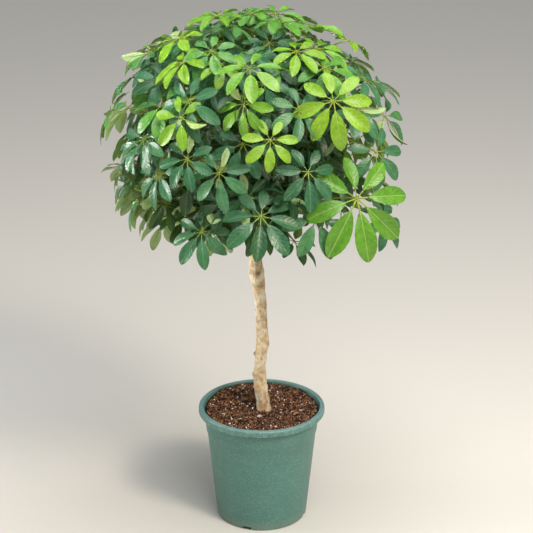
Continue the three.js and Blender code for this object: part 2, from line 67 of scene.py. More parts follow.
# %% [markdown]
# ## Camera
# The plant was photographed with a long lens from 2.7 m away and from above the top of its crown, looking
# down by 20 degrees. The distance sets how much of the soil shows inside the rim, and the lens how large
# the plant is, so the two were fitted together on the pot's rim and foot.

# %% Camera
PHOTO_SIDE = 533  # pixels
FOCAL_LENGTH = 1500  # pixels
LOOKS_DOWN = 20.1  # degrees
CAMERA_PLACE = (0.0097, -2.7057, 1.5163)  # metres

camera = bpy.data.objects.new("camera", bpy.data.cameras.new("camera"))
camera.data.sensor_width = 36
camera.data.lens = camera.data.sensor_width * FOCAL_LENGTH / PHOTO_SIDE
camera.location = CAMERA_PLACE
camera.rotation_euler = (math.radians(90 - LOOKS_DOWN), 0, 0)
bpy.context.scene.collection.objects.link(camera)
bpy.context.scene.camera = camera
print("lens in mm:", round(camera.data.lens, 1))

# %% [markdown]
# ## Small tools
# A grower measures a plant in millimetres, and so does this script. A length becomes metres only when it
# goes into a mesh. No two leaves are alike, and yet the plant has to come out the same each time. So a
# number that looks random is worked out from the leaf's number and the number of the question that is asked
# about it.

# %% Small tools
MM = 0.001
UP = np.array((0.0, 0.0, 1.0))


def unit(v):
    return v / np.linalg.norm(v)


def draw(i, k):
    """A fixed number between 0 and 1 for the item i and the question k."""
    v = math.sin(i * 12.9898 + k * 78.233) * 43758.5453
    return v - math.floor(v)


print("the first leaf's first three draws:", [round(draw(0, k), 2) for k in range(3)])

# %% [markdown]
# ## Where each leaf grows
# The crown is clipped to a dome that is fuller below its widest line. Leaves turn round it by the golden
# angle, as they do round a stem, and lie at several depths, so that no rows show. The leaves that stand out
# in the photograph have a place of their own in a list, and the rule leaves room for them.

# %% The dome
GOLDEN = math.pi * (3 - math.sqrt(5))
CROWN = SimpleNamespace(
    middle=np.array((-20.0, 0.0, 798.0)),
    reach_x=262,  # from the middle to the right and the left,
    reach_y=246,  # to the front and the back,
    rise=216,  # up to the top
    fall=156,  # and down to the foot
    above=2.15,  # how square the dome is over its middle: 2 is round
    below=3.0,  # and under it
    highest=0.99,  # the leaves stand between this share of the rise
    lowest=-0.88,  # and this share of the fall
    turn=3.1,  # where the rule's first leaf stands, in radians round from the right
    leaves=128,  # places all round, before those that the chosen leaves take
    spare=0.95,  # a chosen leaf keeps this share of its reach free round its hub
    layer=62,  # depth of the layer that the hubs fill
    layer_step=0.275,  # share of that depth from one leaf to the next
)


def on_dome(turn, height, share):
    """A point of the dome, scaled about its middle. Height is a share of the rise, or under 0 of the fall."""
    power = CROWN.above if height > 0 else CROWN.below
    across = (1 - abs(height) ** power) ** (1 / power)
    rise = height * (CROWN.rise if height > 0 else CROWN.fall)
    x, y = CROWN.reach_x * across * math.cos(turn), CROWN.reach_y * across * math.sin(turn)
    return CROWN.middle + np.array((x, y, rise)) * share


def outward(p):
    """The dome's outward direction at a point."""
    tall = CROWN.rise if p[2] > CROWN.middle[2] else CROWN.fall
    return unit((p - CROWN.middle) / np.array((CROWN.reach_x, CROWN.reach_y, tall)) ** 2)


def level(k, count, highest=CROWN.highest, lowest=CROWN.lowest):
    """The k-th of count heights that share the dome out evenly."""
    return highest - (k + 0.5) / count * (highest - lowest)


print("crown in mm:", 2 * CROWN.reach_x, "by", 2 * CROWN.reach_y, "by", CROWN.rise + CROWN.fall)


# %% The leaves with a place of their own
# [shoot, x, y, z, reach, leaflets, turn, lean x, lean y]. The shoot is 0 for a mature leaf, or the number of
# the young shoot that it grows on.
CHOSEN = [
    [1, -135, -118, 951, 66, 8, 0.2, -0.15, 0.1],
    [0, -86, -122, 971, 62, 7, 0.5, 0, -0.3],
    [0, -123, -185, 897, 72, 7, 0.35, -0.3, -0.7],
    [2, -138, -198, 871, 62, 6, 0.4, -0.2, -0.5],
    [0, -238, -92, 862, 74, 7, 0.1, -0.1, 0.6],
    [0, -205, -158, 823, 72, 8, 0.6, -0.1, -0.2],
    [3, -29, -211, 898, 62, 8, -0.08, -0.4, -1],
    [0, -206, 19, 938, 62, 7, 0.2, 0, 0],
    [4, 125, -185, 897, 86, 8, -0.02, -0.5, -0.9],
    [0, 66, -186, 882, 70, 7, 0.5, 0.2, -0.4],
    [0, 112, -122, 941, 68, 7, 0.2, 0, -0.4],
    [5, 62, -112, 968, 62, 7, 0.5, 0, -0.3],
    [6, 160, 32, 958, 60, 7, 0.1, 0, 0],
    [0, 228, -12, 826, 68, 7, 0.4, 0, -0.4],
    [7, 16, -238, 842, 60, 7, -0.1, 0.4, -0.5],
    [8, 169, -180, 720, 122, 8, 0, -0.1, -0.6],
    [0, 81, -222, 781, 74, 7, 0.8, 0, -0.2],
    [0, 0, -232, 704, 86, 8, -0.17, 0.05, -0.1],
    [0, -105, -197, 664, 70, 8, 0.28, 0.2, 0],
    [0, 98, -188, 688, 82, 7, 0.3, 0, -0.2],
    [0, -127, -218, 803, 64, 7, 0.45, 0, 0],
    [0, -178, -186, 769, 70, 7, 0.1, 0, 0],
    [0, -213, -100, 702, 76, 7, 0.65, -0.2, 0.55],
    [0, -72, -232, 782, 68, 7, 0.2, 0, 0],
    [0, 205, -112, 786, 72, 7, 0.55, -0.1, -0.4],
    [0, 222, -96, 655, 68, 7, 0.3, 0.1, -0.3],
    [0, -31, -202, 826, 70, 7, 0.5, 0, -0.4],
    [0, -74, -125, 641, 60, 7, 0.3, 0.1, 0.9],
    [0, 60, -120, 619, 62, 7, 0.3, 0, 0.2],
    [0, -182, -70, 640, 62, 7, 0.2, -0.1, 0.8],
    [1, -68, -138, 951, 54, 7, 0.1, 0.1, -0.1],
]
FRESHNESS = [0.8, 0.7, 0.45, 0.95, 0.75, 0.8, 0.95, 0.3]  # of each young shoot: 0 is green, 1 is lime
CHOSEN_SEED = 500  # their small differences are drawn with this number and the next ones
print("leaves with a place of their own:", len(CHOSEN))

# %% The leaves on the outside
LEAF = SimpleNamespace(
    reach=71,  # from the hub to the tip of the longest leaflet
    reach_spread=12,
    leaflets=7,
)


def outer_places():
    """The leaves of the crown's outside: the chosen ones, and then those of the rule."""
    places = []
    for i, (shoot, x, y, z, reach, leaflets, turn, *lean) in enumerate(CHOSEN):
        hub = np.array((x, y, z), float)
        places.append(SimpleNamespace(
            shoot=shoot, seed=CHOSEN_SEED + i, hub=hub, reach=reach, leaflets=leaflets, turn=turn,
            lean=lean, chosen=True))
    taken = list(places)
    for i in range(CROWN.leaves):
        turn = i * GOLDEN + CROWN.turn
        outer = on_dome(turn, level(i, CROWN.leaves), 1)
        if any(np.linalg.norm(place.hub - outer) < CROWN.spare * place.reach for place in taken):
            continue
        depth = i * CROWN.layer_step % 1 * CROWN.layer / CROWN.reach_x
        hub = on_dome(turn, level(i, CROWN.leaves), 1 - depth)
        reach = LEAF.reach + LEAF.reach_spread * (draw(i, 2) - 0.5)
        places.append(SimpleNamespace(
            shoot=0, seed=i, hub=hub, reach=reach, leaflets=LEAF.leaflets, turn=draw(i, 3) * math.pi,
            lean=(0, 0), chosen=False))
    return places


outer_leaves = outer_places()
print("leaves on the outside of the crown:", len(outer_leaves))

# %% [markdown]
# ## Leafy stems
# Two dozen thin stems leave the wood inside the crown, rise outward and end a little inside their leaves.
# Each leaf belongs to the nearest stem. A young shoot is a stem of its own, because its leaves are another
# colour. A stem whose line would run into an earlier one leaves the wood a little higher or lower.

# %% The wood that the stems grow from
# [height, centre x, centre y, radius]: a slight double bend, with swellings at old leaf scars
TRUNK_LINE = np.array([
    (222, 4, 0, 13.4), (240, 3, 0, 13.2), (262, -0.3, 1, 13.6), (285, -3, 2, 12.4),
    (299, -4, 1, 12.8), (320, -2.5, -1, 11.4), (345, -0.6, -2, 11.6), (364, 1.4, -2, 13),
    (376, 2, -1, 11.8), (402, 0.6, 0, 11.4), (446, -1.2, 2, 10.9), (478, -3.8, 2, 11.3),
    (511, -9, 0, 14.4), (540, -11, -1, 12.4), (640, -14, 0, 9.6), (760, -18, 2, 7), (900, -22, 0, 4.6),
])


def trunk_at(z):
    """Centre and radius of the wood at a height."""
    k = int(np.clip(np.searchsorted(TRUNK_LINE[:, 0], z, "right") - 1, 0, len(TRUNK_LINE) - 2))
    low, high = TRUNK_LINE[k], TRUNK_LINE[k + 1]
    share = np.clip((z - low[0]) / (high[0] - low[0]), 0, 1)
    mix = low + (high - low) * share * share * (3 - 2 * share)
    return np.array((mix[1], mix[2], z)), mix[3]


print("wood over the soil, in mm:", TRUNK_LINE[-1][0] - TRUNK_LINE[0][0])

# %% Stems
STEM = SimpleNamespace(
    count=24,
    root=3.3,  # radius where it leaves the wood
    tip=2,  # and at its end
    inset=58,  # it ends this far inside its leaves
    below=70,  # and comes from this far under their middle
    share=0.86,  # the stems spread towards points on a dome of this size
    turn=3.5,
    young=4,  # behind, each stem of this many is a young one,
    young_behind=40,  # and behind starts this far from the middle
    leafy=0.4,  # share of the stem that its leaves stand on
    slope=0.42,  # its root lies this share of its reach under its tip,
    lowest=566,  # but between these heights
    highest=892,
    apart=7.5,  # stems keep this much room between their middle lines
    tries=9,  # places to try for a root,
    step=9,  # and the height from one to the next
    room=5,  # a stalk keeps this far from another stem's middle line
    woody=0.9,  # how brown it is where it leaves the wood,
    greener=0.6,  # and how much less brown at its end
)


def line_gap(a, b, c, d):
    """The shortest distance between two straight lines a-b and c-d."""
    u, v, w = b - a, d - c, a - c
    uu, uv, vv, uw, vw = u @ u, u @ v, v @ v, u @ w, v @ w
    s = min(1, max(0, (uv * vw - vv * uw) / max(uu * vv - uv * uv, 1e-9)))
    t = min(1, max(0, (uv * s + vw) / vv))
    s = min(1, max(0, (uv * t - uw) / uu))
    return np.linalg.norm(a + u * s - c - v * t)


# %% Planting the stems
def root_stem(stem, rooted):
    """Gives a stem its tip, inside its leaves, and its root on the wood, clear of the earlier stems."""
    middle = sum(leaf.hub for leaf in stem.leaves) / len(stem.leaves)
    source = np.array((CROWN.middle[0], CROWN.middle[1], middle[2] - STEM.below))
    stem.tip = middle + unit(source - middle) * STEM.inset
    out = math.hypot(*(stem.tip - CROWN.middle)[:2])
    height = min(STEM.highest, max(STEM.lowest, stem.tip[2] - STEM.slope * out))
    widest = -1
    for c in range(STEM.tries):
        step = math.ceil(c / 2) * STEM.step * (1 if c % 2 else -1)
        root, radius = trunk_at(min(STEM.highest, height + step))
        start = root + unit(stem.tip - root) * (radius + 1)
        gaps = [line_gap(start, stem.tip, s.start, s.tip) for s in rooted]
        gap = min([STEM.apart, *gaps])
        if gap > widest:
            stem.root, stem.start, widest = root, start, gap
        if widest >= STEM.apart:
            return


def plant_stems(places):
    """Leafy stems and young shoots with their leaves, names, roots and tips."""
    stems = []
    for k in range(STEM.count):
        centre = on_dome(k * GOLDEN + STEM.turn, level(k, STEM.count), STEM.share)
        young = k == 0 or (k % STEM.young == 1 and centre[1] > STEM.young_behind)
        stems.append(SimpleNamespace(centre=centre, young=young, leaves=[]))
    shoots = [SimpleNamespace(young=True, leaves=[]) for _ in FRESHNESS]
    for leaf in places:
        if leaf.shoot:
            shoots[leaf.shoot - 1].leaves.append(leaf)
            continue
        fitting = [s for s in stems if not (s.young and leaf.chosen)]
        min(fitting, key=lambda s: np.linalg.norm(s.centre - leaf.hub)).leaves.append(leaf)
    rooted = []
    for group, kind in ((stems, "leafy_stem"), (shoots, "young_shoot")):
        for number, stem in enumerate((s for s in group if s.leaves), 1):
            stem.name = f"{kind}_{number:02d}"
            root_stem(stem, rooted)
            rooted.append(stem)
    return rooted


stems = plant_stems(outer_leaves)
print("stems and shoots:", len(stems), "; in the frame:", sum(s.name in frame["nodes"] for s in stems))

# %% [markdown]
# ## How each leaf is held
# A leaf faces outward and up, and its longest leaflets hang. Its blade is arched: it leaves the middle
# rising a little, and falls away towards the tips. A leaf tries several tilts and depths, and keeps the one
# in which its ribs cross its neighbours least, as growing leaves push each other aside.

# %% One leaf's directions and leaflets
LIFT = 0.1  # the blade leaves the middle rising this steeply,
DROOP = 0.36  # and falls away by this share of its length
OUTWARD, UPWARD = 0.6, 0.46  # how far the leaf faces out of the crown, and how far the sky
HANG = 0.35  # how much the longest leaflet points outward rather than down
LOWEST_LOOK = -0.15  # even the lowest leaves hardly face down
WANDER = 0.12  # unevenness of the leaflets' angles, as a share of one step
GATHER = 0.15  # how much closer the hanging leaflets stand
LONGER = 0.16  # they are longer, and the upper ones shorter, by this share
UNEVEN = 0.1  # a leaflet is shorter by up to this share


def facing(leaf, tilt, hub):
    """A copy of the leaf with its hub and its axis, and the ways down and sideways in its plane."""
    out = outward(hub)
    out[2] = max(out[2], LOWEST_LOOK)
    axis = unit(out * OUTWARD + UP * UPWARD + (leaf.lean[0] + tilt[0], leaf.lean[1] + tilt[1], 0))
    hang = outward(hub) * HANG - UP
    down = unit(hang - axis * (hang @ axis))
    side = np.cross(axis, down)
    return SimpleNamespace(**{**vars(leaf), "hub": hub, "axis": axis, "down": down, "side": side})


def arch(leaf, r):
    """How far the blade stands along the axis at a distance from the hub."""
    t = r / leaf.reach
    return leaf.reach * (LIFT * t - DROOP * t * t)


def leaflets_of(leaf):
    """Each leaflet's direction in the blade's plane, the way across it, and its length."""
    found = []
    for i in range(leaf.leaflets):
        wander = WANDER * (draw(leaf.seed, 20 + i) - 0.5)
        angle = leaf.turn + 2 * math.pi * (i + wander) / leaf.leaflets
        angle -= GATHER * math.sin(angle)
        along = leaf.down * math.cos(angle) + leaf.side * math.sin(angle)
        hanging = 1 - LONGER * (1 - math.cos(angle))
        length = leaf.reach * hanging * (1 - UNEVEN * draw(leaf.seed, 40 + i))
        found.append(SimpleNamespace(along=along, across=np.cross(leaf.axis, along), length=length))
    return found


# %% Settling the leaves among each other
SETTLE = SimpleNamespace(
    tries=14,  # tilts and depths that a leaf may choose from
    sway=0.24,  # its first tilt is up to half this,
    swing=0.5,  # and the others up to half of this
    shift=44,  # range of its depths
    shift_out=0.4,  # share of that range that is outward
    foot_step=0.21,  # share of the stem's leafy stretch from one try to the next
    near=45,  # leaves further apart than this don't count as crossing
    tangle=30,  # what a stalk that runs into another one counts, against one crossed point
    own_blade=6,  # and a point of the stalk that meets its own blade
    stalk_room=3.6,  # middle lines of two stalks are at least this far apart
    clear=4.4,  # and a stalk stays this far under its own blade
)
RIB_SHARES = (0.35, 0.6, 0.8, 1)  # where the ribs are tested, as shares of a leaflet
STALK_SHARES = (0.2, 0.35, 0.5, 0.65, 0.8, 1)  # and the stalk, as shares of its length from the hub


def rib_points(leaf):
    points = [leaf.hub]
    for leaflet in leaflets_of(leaf):
        for r in (t * leaflet.length for t in RIB_SHARES):
            points.append(leaf.hub + leaflet.along * r + leaf.axis * arch(leaf, r))
    return np.array(points)


def over_blade(points, leaf):
    """Distance from the leaf's axis, and height over its arched blade, of each point."""
    d = points - leaf.hub
    rise = d @ leaf.axis
    r = np.sqrt(np.maximum(0, (d * d).sum(1) - rise * rise))
    return r, rise - arch(leaf, r)


def straddle(points, leaf):
    """How badly the points of one leaf stand on both sides of another leaf's blade."""
    r, over = over_blade(points, leaf)
    near = (r <= leaf.reach) & (abs(over) <= SETTLE.near)
    return min((near & (over > -1)).sum(), (near & (over < 1)).sum())


def cost_of(leaf, settled, stems):
    """What a leaf's place costs: points that cross other leaves, and stalks that run into each other."""
    stalk = leaf.hub + (leaf.foot - leaf.hub) * np.array(STALK_SHARES)[:, None]
    r, over = over_blade(stalk, leaf)
    cost = SETTLE.own_blade * ((r < leaf.reach) & (over > -SETTLE.clear)).sum()
    for other in settled:
        if np.linalg.norm(other.hub - leaf.hub) < other.reach + leaf.reach:
            cost += straddle(leaf.points, other) + straddle(other.points, leaf)
        if other.stem is not leaf.stem:
            gap = line_gap(leaf.foot, leaf.hub, other.foot, other.hub)
            cost += SETTLE.tangle * (gap < SETTLE.stalk_room)
    for other in stems:
        if other is not leaf.stem:
            gap = line_gap(leaf.foot, leaf.hub, other.start, other.tip)
            cost += SETTLE.tangle * (gap < STEM.room)
    return cost


# %% One leaf after another
def settle(leaf, place, stems, settled, tries):
    """Adds a leaf in the best of its tries. Place is where its stalk starts on its stem's leafy stretch."""
    stem, best = leaf.stem, None
    for c in range(tries):
        share = 1 - STEM.leafy * ((place + c * SETTLE.foot_step) % 1)
        swing = SETTLE.swing if c else SETTLE.sway
        tilt = [swing * (draw(leaf.seed, k + c) - 0.5) for k in (60, 80)]
        free = c > 0 and not leaf.chosen
        shift = SETTLE.shift * (draw(leaf.seed, 100 + c) - 1 + SETTLE.shift_out) if free else 0
        tried = facing(leaf, tilt, leaf.hub + outward(leaf.hub) * shift)
        tried.foot = stem.start + (stem.tip - stem.start) * share
        tried.points = rib_points(tried)
        tried.cost = cost_of(tried, settled, stems)
        if best is None or tried.cost < best.cost:
            best = tried
        if best.cost == 0:
            break
    settled.append(best)


settled = []
for chosen in (True, False):
    for stem in stems:
        for j, leaf in enumerate(stem.leaves):
            leaf.stem = stem
            if leaf.chosen == chosen:
                settle(leaf, j / len(stem.leaves), stems, settled, SETTLE.tries)
print("leaves settled:", len(settled), "; points that still cross:", sum(leaf.cost for leaf in settled))

# %% [markdown]
# ## Inner leaves
# Behind its outer leaves the real crown is filled with older and smaller ones, in the shade. They close the
# view through the crown, so the light between the outer leaves falls on more green and not on the far side.
# They follow the same rule on domes of other sizes, and grow on the stems that are there. Their green is
# nearly black: older leaves are darker, and the rest of that darkness is painted shade.

# %% Inner leaves
INNER = SimpleNamespace(
    step=0.382,  # share of the layer's depth from one leaf to the next
    reach=62,
    reach_spread=14,
    lean=1.1,  # they lean more freely, up to half this
    seed=1000,
    tries=5,
    # their low tints pick nearly black tones: partly the darker green of old leaves, partly painted shade
    shade=0.15,  # how fresh a green the freshest of them has in full shade
)
# [leaves, highest, lowest, shallowest, deepest, turn], the depths as shares of the dome's size
INNER_LAYERS = [
    (124, 0.99, -0.9, 0.86, 0.5, 1.1),  # all through the crown
    (62, -0.45, -0.99, 0.97, 0.55, 2.3),  # once more in its foot
    (44, 0.99, 0.55, 0.95, 0.7, 0.5),  # and in its top,
    (4, 1.0, 0.985, 0.95, 0.85, 1.3),  # at the very top
    (34, -0.78, -0.995, 1.13, 0.8, 0.2),  # and on its underside
]


def inner_leaves():
    hub_stems = [(leaf.hub, leaf.stem) for leaf in settled if not leaf.stem.young]
    seed = INNER.seed
    for leaves, highest, lowest, shallowest, deepest, turn in INNER_LAYERS:
        for i in range(leaves):
            share = shallowest - (shallowest - deepest) * (i * INNER.step % 1)
            hub = on_dome(i * GOLDEN + turn, level(i, leaves, highest, lowest), share)
            reach = INNER.reach + INNER.reach_spread * (draw(seed, 2) - 0.5)
            lean = [INNER.lean * (draw(seed, k) - 0.5) for k in (5, 6)]
            leaf = SimpleNamespace(shoot=0, seed=seed, hub=hub, reach=reach, leaflets=LEAF.leaflets,
                                   turn=draw(seed, 3) * math.pi, lean=lean, chosen=False)
            leaf.stem = min(hub_stems, key=lambda pair: np.linalg.norm(pair[0] - hub))[1]
            settle(leaf, draw(seed, 4), stems, settled, INNER.tries)
            seed += 1


inner_leaves()
print("leaves with the inner ones:", len(settled))

# %% [markdown]
# ## One leaflet
# A leaflet is widest past its middle and stands on a short stalk of its own, which runs on under the blade
# as its midrib. One leaflet of length 1 is made here, flat and closed, with a thin edge that all its rows
# share. It is copied about 2,600 times, so it has fewer than a hundred faces. Each point remembers where on
# the leaflet it lies: how far along, how far across, and how near the edge. The bending and the veins read
# that later.

# %% Meshes
def store(mesh, name, kind, values, domain="POINT"):
    """Keeps a value for each point, edge or face of a mesh under a name that nodes can read."""
    layer = mesh.attributes.new(name, kind, domain)
    layer.data.foreach_set("vector" if kind == "FLOAT_VECTOR" else "value", np.ravel(values))


def placed(name, mesh):
    """An object for a mesh, at the origin and unturned."""
    piece = bpy.data.objects.new(name, mesh)
    bpy.context.scene.collection.objects.link(piece)
    return piece


def skin(rings):
    """Points and faces of a closed skin over rings of points. A ring of one point is a pole."""
    starts = np.cumsum([0] + [len(ring) for ring in rings])
    faces = []
    for low, high, a, b in zip(rings, rings[1:], starts, starts[1:]):
        count = max(len(low), len(high))
        for i in range(count):
            j = (i + 1) % count
            if len(low) == 1:
                faces.append((a, b + j, b + i))
            elif len(high) == 1:
                faces.append((a + i, a + j, b))
            else:
                faces.append((a + i, a + j, b + j, b + i))
    return np.vstack(rings), faces


# %% One leaflet
STALK_END = 0.2  # the blade starts at this share of the leaflet's length
HALF_WIDTH = 0.174  # of the blade where it is widest
THICKNESS = 0.0045  # half of it, at the rib
NARROW, FULL = 0.95, 0.66  # how narrow the blade's foot is, and how full its tip
BLADE_ROWS = (0, 0.05, 0.14, 0.27, 0.42, 0.57, 0.71, 0.83, 0.92, 0.98, 1)  # shares of the blade's length
ACROSS = (-1, -0.5, 0, 0.5, 1, 0.5, 0, -0.5)  # round one row of the blade, from edge to edge and back
ABOVE = (0, 1, 1, 1, 0, -1, -1, -1)
RIB_ROWS = ((0, 0.0165), (0.1, 0.012), (STALK_END, 0.0125), (0.8, 0.003))  # [place, radius]
RIB_RING = ((1, 0.5), (-1, 0.5), (0, -1.2))


def outline(s):
    """Half the blade's width at a share of its length, against the widest."""
    widest = NARROW / (NARROW + FULL)
    return s**NARROW * (1 - s) ** FULL / (widest**NARROW * (1 - widest) ** FULL)


def is_under(face, points):
    return points[list(face)][:, 2].mean() < 0


def make_leaflet():
    rows = []
    for s in BLADE_ROWS:
        x, half = STALK_END + (1 - STALK_END) * s, HALF_WIDTH * outline(s)
        row = [(x, half * u, THICKNESS * side * (1 - u * u) ** 0.5) for u, side in zip(ACROSS, ABOVE)]
        rows.append(np.array(row if 0 < s < 1 else [(x, 0, 0)]))
    blade, blade_faces = skin(rows)
    # a blade is split along the same diagonals above and below, or its two skins cross where it waves
    blade_faces = [face[1:] + face[:1] if is_under(face, blade) else face for face in blade_faces]
    tubes = [np.array([(x, r * a, r * b - r) for a, b in RIB_RING]) for x, r in RIB_ROWS]
    rib, rib_faces = skin([tubes[0].mean(0)[None], *tubes, tubes[-1].mean(0)[None]])
    offset = len(blade)
    faces = blade_faces + [tuple(i + offset for i in face) for face in rib_faces]
    points = np.vstack([blade, rib])
    mesh = bpy.data.meshes.new("leaflet")
    mesh.from_pydata(points, [], faces)
    mesh.shade_smooth()
    half = HALF_WIDTH * outline(np.clip((points[:, 0] - STALK_END) / (1 - STALK_END), 0, 1))
    edge = np.divide(points[:, 1], half, out=np.zeros(len(points)), where=half > 1e-6)
    store(mesh, "on_leaflet", "FLOAT_VECTOR", np.column_stack([points[:, :2], edge]))
    is_blade = np.arange(len(faces)) < len(blade_faces)
    under = is_blade & [is_under(face, points) for face in faces]
    store(mesh, "blade", "FLOAT", is_blade.astype(float), "FACE")
    store(mesh, "under", "FLOAT", under.astype(float), "FACE")
    on_rim = abs(edge) > 0.999
    ends = np.array([line.vertices[:] for line in mesh.edges])
    store(mesh, "sharp_edge", "BOOLEAN", on_rim[ends].all(1), "EDGE")
    return placed("leaflet", mesh)


leaflet_shape = make_leaflet()
print("faces of one leaflet:", len(leaflet_shape.data.polygons))

# %% [markdown]
# ## From points to leaves
# A spray, which is one stem with all its leaves, starts as a bare mesh: a chain of edges for each stalk,
# and a loose point for each leaflet. Each point keeps how thick, how long, how bent and how green its
# leaflet is. Geometry Nodes turn that into the spray. The edges become round stalks, a leaflet is set on
# each loose point, and then all the leaflets bend at once, each by its own numbers. Copies made by hand
# could do the same, but a tree keeps the rule in one place, and the bend can be changed without making the
# leaves again. One small function adds a node with its settings and links, to this tree and to every
# material.

# %% Adding a node
def add(tree, kind, links=None, **settings):
    """A new node. A link is a plain value, a socket, or a node, whose first open output is then meant."""
    node = tree.nodes.new(kind)
    for name, value in settings.items():
        setattr(node, name, value)
    for key, value in (links or {}).items():
        named = [s for s in node.inputs if s.enabled and s.name == key]
        target = named[0] if named else node.inputs[key]
        if isinstance(value, bpy.types.Node):
            value = next(s for s in value.outputs if s.enabled)
        if isinstance(value, bpy.types.NodeSocket):
            tree.links.new(value, target)
        else:
            target.default_value = value
    return node


# %% The spray's Geometry Nodes tree
RIPPLES = 11.0  # how fast the margin's waves follow each other, in radians for a leaflet's length


def spray_tree():
    tree = bpy.data.node_groups.new("spray", "GeometryNodeTree")
    for name, kind in (("Geometry", "Geometry"), ("Leaflet", "Object"), ("Finish", "Material"),
                       ("Stalk sides", "Int"), ("Ripples", "Float")):
        tree.interface.new_socket(name, in_out="INPUT", socket_type=f"NodeSocket{kind}")
    tree.interface.new_socket("Geometry", in_out="OUTPUT", socket_type="NodeSocketGeometry")
    given = add(tree, "NodeGroupInput")
    kept = {
        name: add(tree, "GeometryNodeInputNamedAttribute", {"Name": name}, data_type=kind)
        for name, kind in (("is_leaflet", "BOOLEAN"), ("size", "FLOAT"), ("turned", "QUATERNION"),
                           ("thick", "FLOAT"), ("out", "FLOAT_VECTOR"), ("bend", "FLOAT_VECTOR"),
                           ("ripple", "FLOAT_VECTOR"), ("on_leaflet", "FLOAT_VECTOR"))
    }
    shape = add(tree, "GeometryNodeObjectInfo", {"Object": given.outputs["Leaflet"]})
    leaflets = add(tree, "GeometryNodeInstanceOnPoints", {
        "Points": given.outputs["Geometry"], "Selection": kept["is_leaflet"],
        "Instance": shape.outputs["Geometry"], "Rotation": kept["turned"], "Scale": kept["size"]})
    lines = add(tree, "GeometryNodeMeshToCurve", {"Mesh": given.outputs["Geometry"]})
    circle = add(tree, "GeometryNodeCurvePrimitiveCircle", {
        "Resolution": given.outputs["Stalk sides"], "Radius": 1})
    stalks = add(tree, "GeometryNodeCurveToMesh", {
        "Curve": lines, "Profile Curve": circle, "Scale": kept["thick"], "Fill Caps": True})
    smooth = add(tree, "GeometryNodeSetShadeSmooth", {"Geometry": stalks})
    joined = add(tree, "GeometryNodeJoinGeometry", {"Geometry": leaflets})
    tree.links.new(smooth.outputs[0], joined.inputs[0])
    real = add(tree, "GeometryNodeRealizeInstances", {"Geometry": joined})

    # rise * t - fall * t^2 + fold * |across|
    t, across, edge = add(tree, "ShaderNodeSeparateXYZ", {0: kept["on_leaflet"]}).outputs
    fallen = add(tree, "ShaderNodeMath", {0: t, 1: t}, operation="MULTIPLY")
    down = add(tree, "ShaderNodeMath", {0: fallen, 1: -1.0}, operation="MULTIPLY")
    aside = add(tree, "ShaderNodeMath", {0: across}, operation="ABSOLUTE")
    along = add(tree, "ShaderNodeCombineXYZ", {0: t, 1: down, 2: aside})
    bent = add(tree, "ShaderNodeVectorMath", {0: kept["bend"], 1: along}, operation="DOT_PRODUCT")

    # curl * edge^2 + wave * edge^2 * sin(ripples * t + phase)
    curl, wave, phase = add(tree, "ShaderNodeSeparateXYZ", {0: kept["ripple"]}).outputs
    step = add(tree, "ShaderNodeMath", {0: t, 1: given.outputs["Ripples"], 2: phase},
               operation="MULTIPLY_ADD")
    swing = add(tree, "ShaderNodeMath", {0: step}, operation="SINE")
    waved = add(tree, "ShaderNodeMath", {0: wave, 1: swing, 2: curl}, operation="MULTIPLY_ADD")
    margin = add(tree, "ShaderNodeMath", {0: edge, 1: edge}, operation="MULTIPLY")
    total = add(tree, "ShaderNodeMath", {0: waved, 1: margin, 2: bent}, operation="MULTIPLY_ADD")
    offset = add(tree, "ShaderNodeVectorMath", {0: kept["out"], "Scale": total}, operation="SCALE")

    moved = add(tree, "GeometryNodeSetPosition", {"Geometry": real, "Offset": offset})
    painted = add(tree, "GeometryNodeSetMaterial", {"Geometry": moved, "Material": given.outputs["Finish"]})
    add(tree, "NodeGroupOutput", {"Geometry": painted})
    return tree


spray_nodes = spray_tree()
print("nodes in the spray's tree:", len(spray_nodes.nodes))


# %% Running a tree
def grown(name, start, tree, inputs):
    """The plain mesh piece that a tree makes out of a starting mesh."""
    base = placed(name + "_start", start)
    modifier = base.modifiers.new("tree", "NODES")
    modifier.node_group = tree
    for item in tree.interface.items_tree:
        if item.in_out == "INPUT" and item.name in inputs:
            modifier[item.identifier] = inputs[item.name]
    graph = bpy.context.evaluated_depsgraph_get()
    result = base.evaluated_get(graph)
    mesh = bpy.data.meshes.new_from_object(result, preserve_all_data_layers=True, depsgraph=graph)
    base.modifiers.remove(modifier)
    bpy.data.objects.remove(base)
    mesh.name = name
    return placed(name, mesh)


# %% [markdown]
# ## Leaf finish
# The blade is a thin leathery skin with a wax cover, so it shines softly. Young blades are lime and mature
# ones a blue green, with a pale midrib, faint side veins and some dust and lime spots from watering. The
# underside is a dull pale green, because nothing there is waxed. Some light comes through a blade, most
# through a young one. One material does the whole spray: it tells blade, underside and stalk apart by what
# the leaflet's faces keep. Colours are written as hex values, as a colour picker shows them, and are made
# linear, because Blender's materials count in linear light.

# %% A blank material
def linear(code):
    """A hex colour as linear red, green and blue, with a full alpha."""
    parts = [int(code[i : i + 2], 16) / 255 for i in (1, 3, 5)]
    return [c / 12.92 if c <= 0.04045 else ((c + 0.055) / 1.055) ** 2.4 for c in parts] + [1.0]


def blank(name):
    """A new material whose tree is empty, and that tree."""
    material = bpy.data.materials.new(name)
    material.use_nodes = True
    material.node_tree.nodes.clear()
    return material, material.node_tree


def set_stops(ramp, stops):
    """Gives a colour ramp its stops, each with a position and a hex colour."""
    while len(ramp.color_ramp.elements) < len(stops):
        ramp.color_ramp.elements.new(0.5)
    for element, (position, tone) in zip(ramp.color_ramp.elements, stops):
        element.position, element.color = position, linear(tone)


# %% Leaf finish
RIB_WIDTH = 0.012  # of the pale line on a leaflet of length 1: 0.8 mm on one of 70 mm
SIDE_VEINS = 9


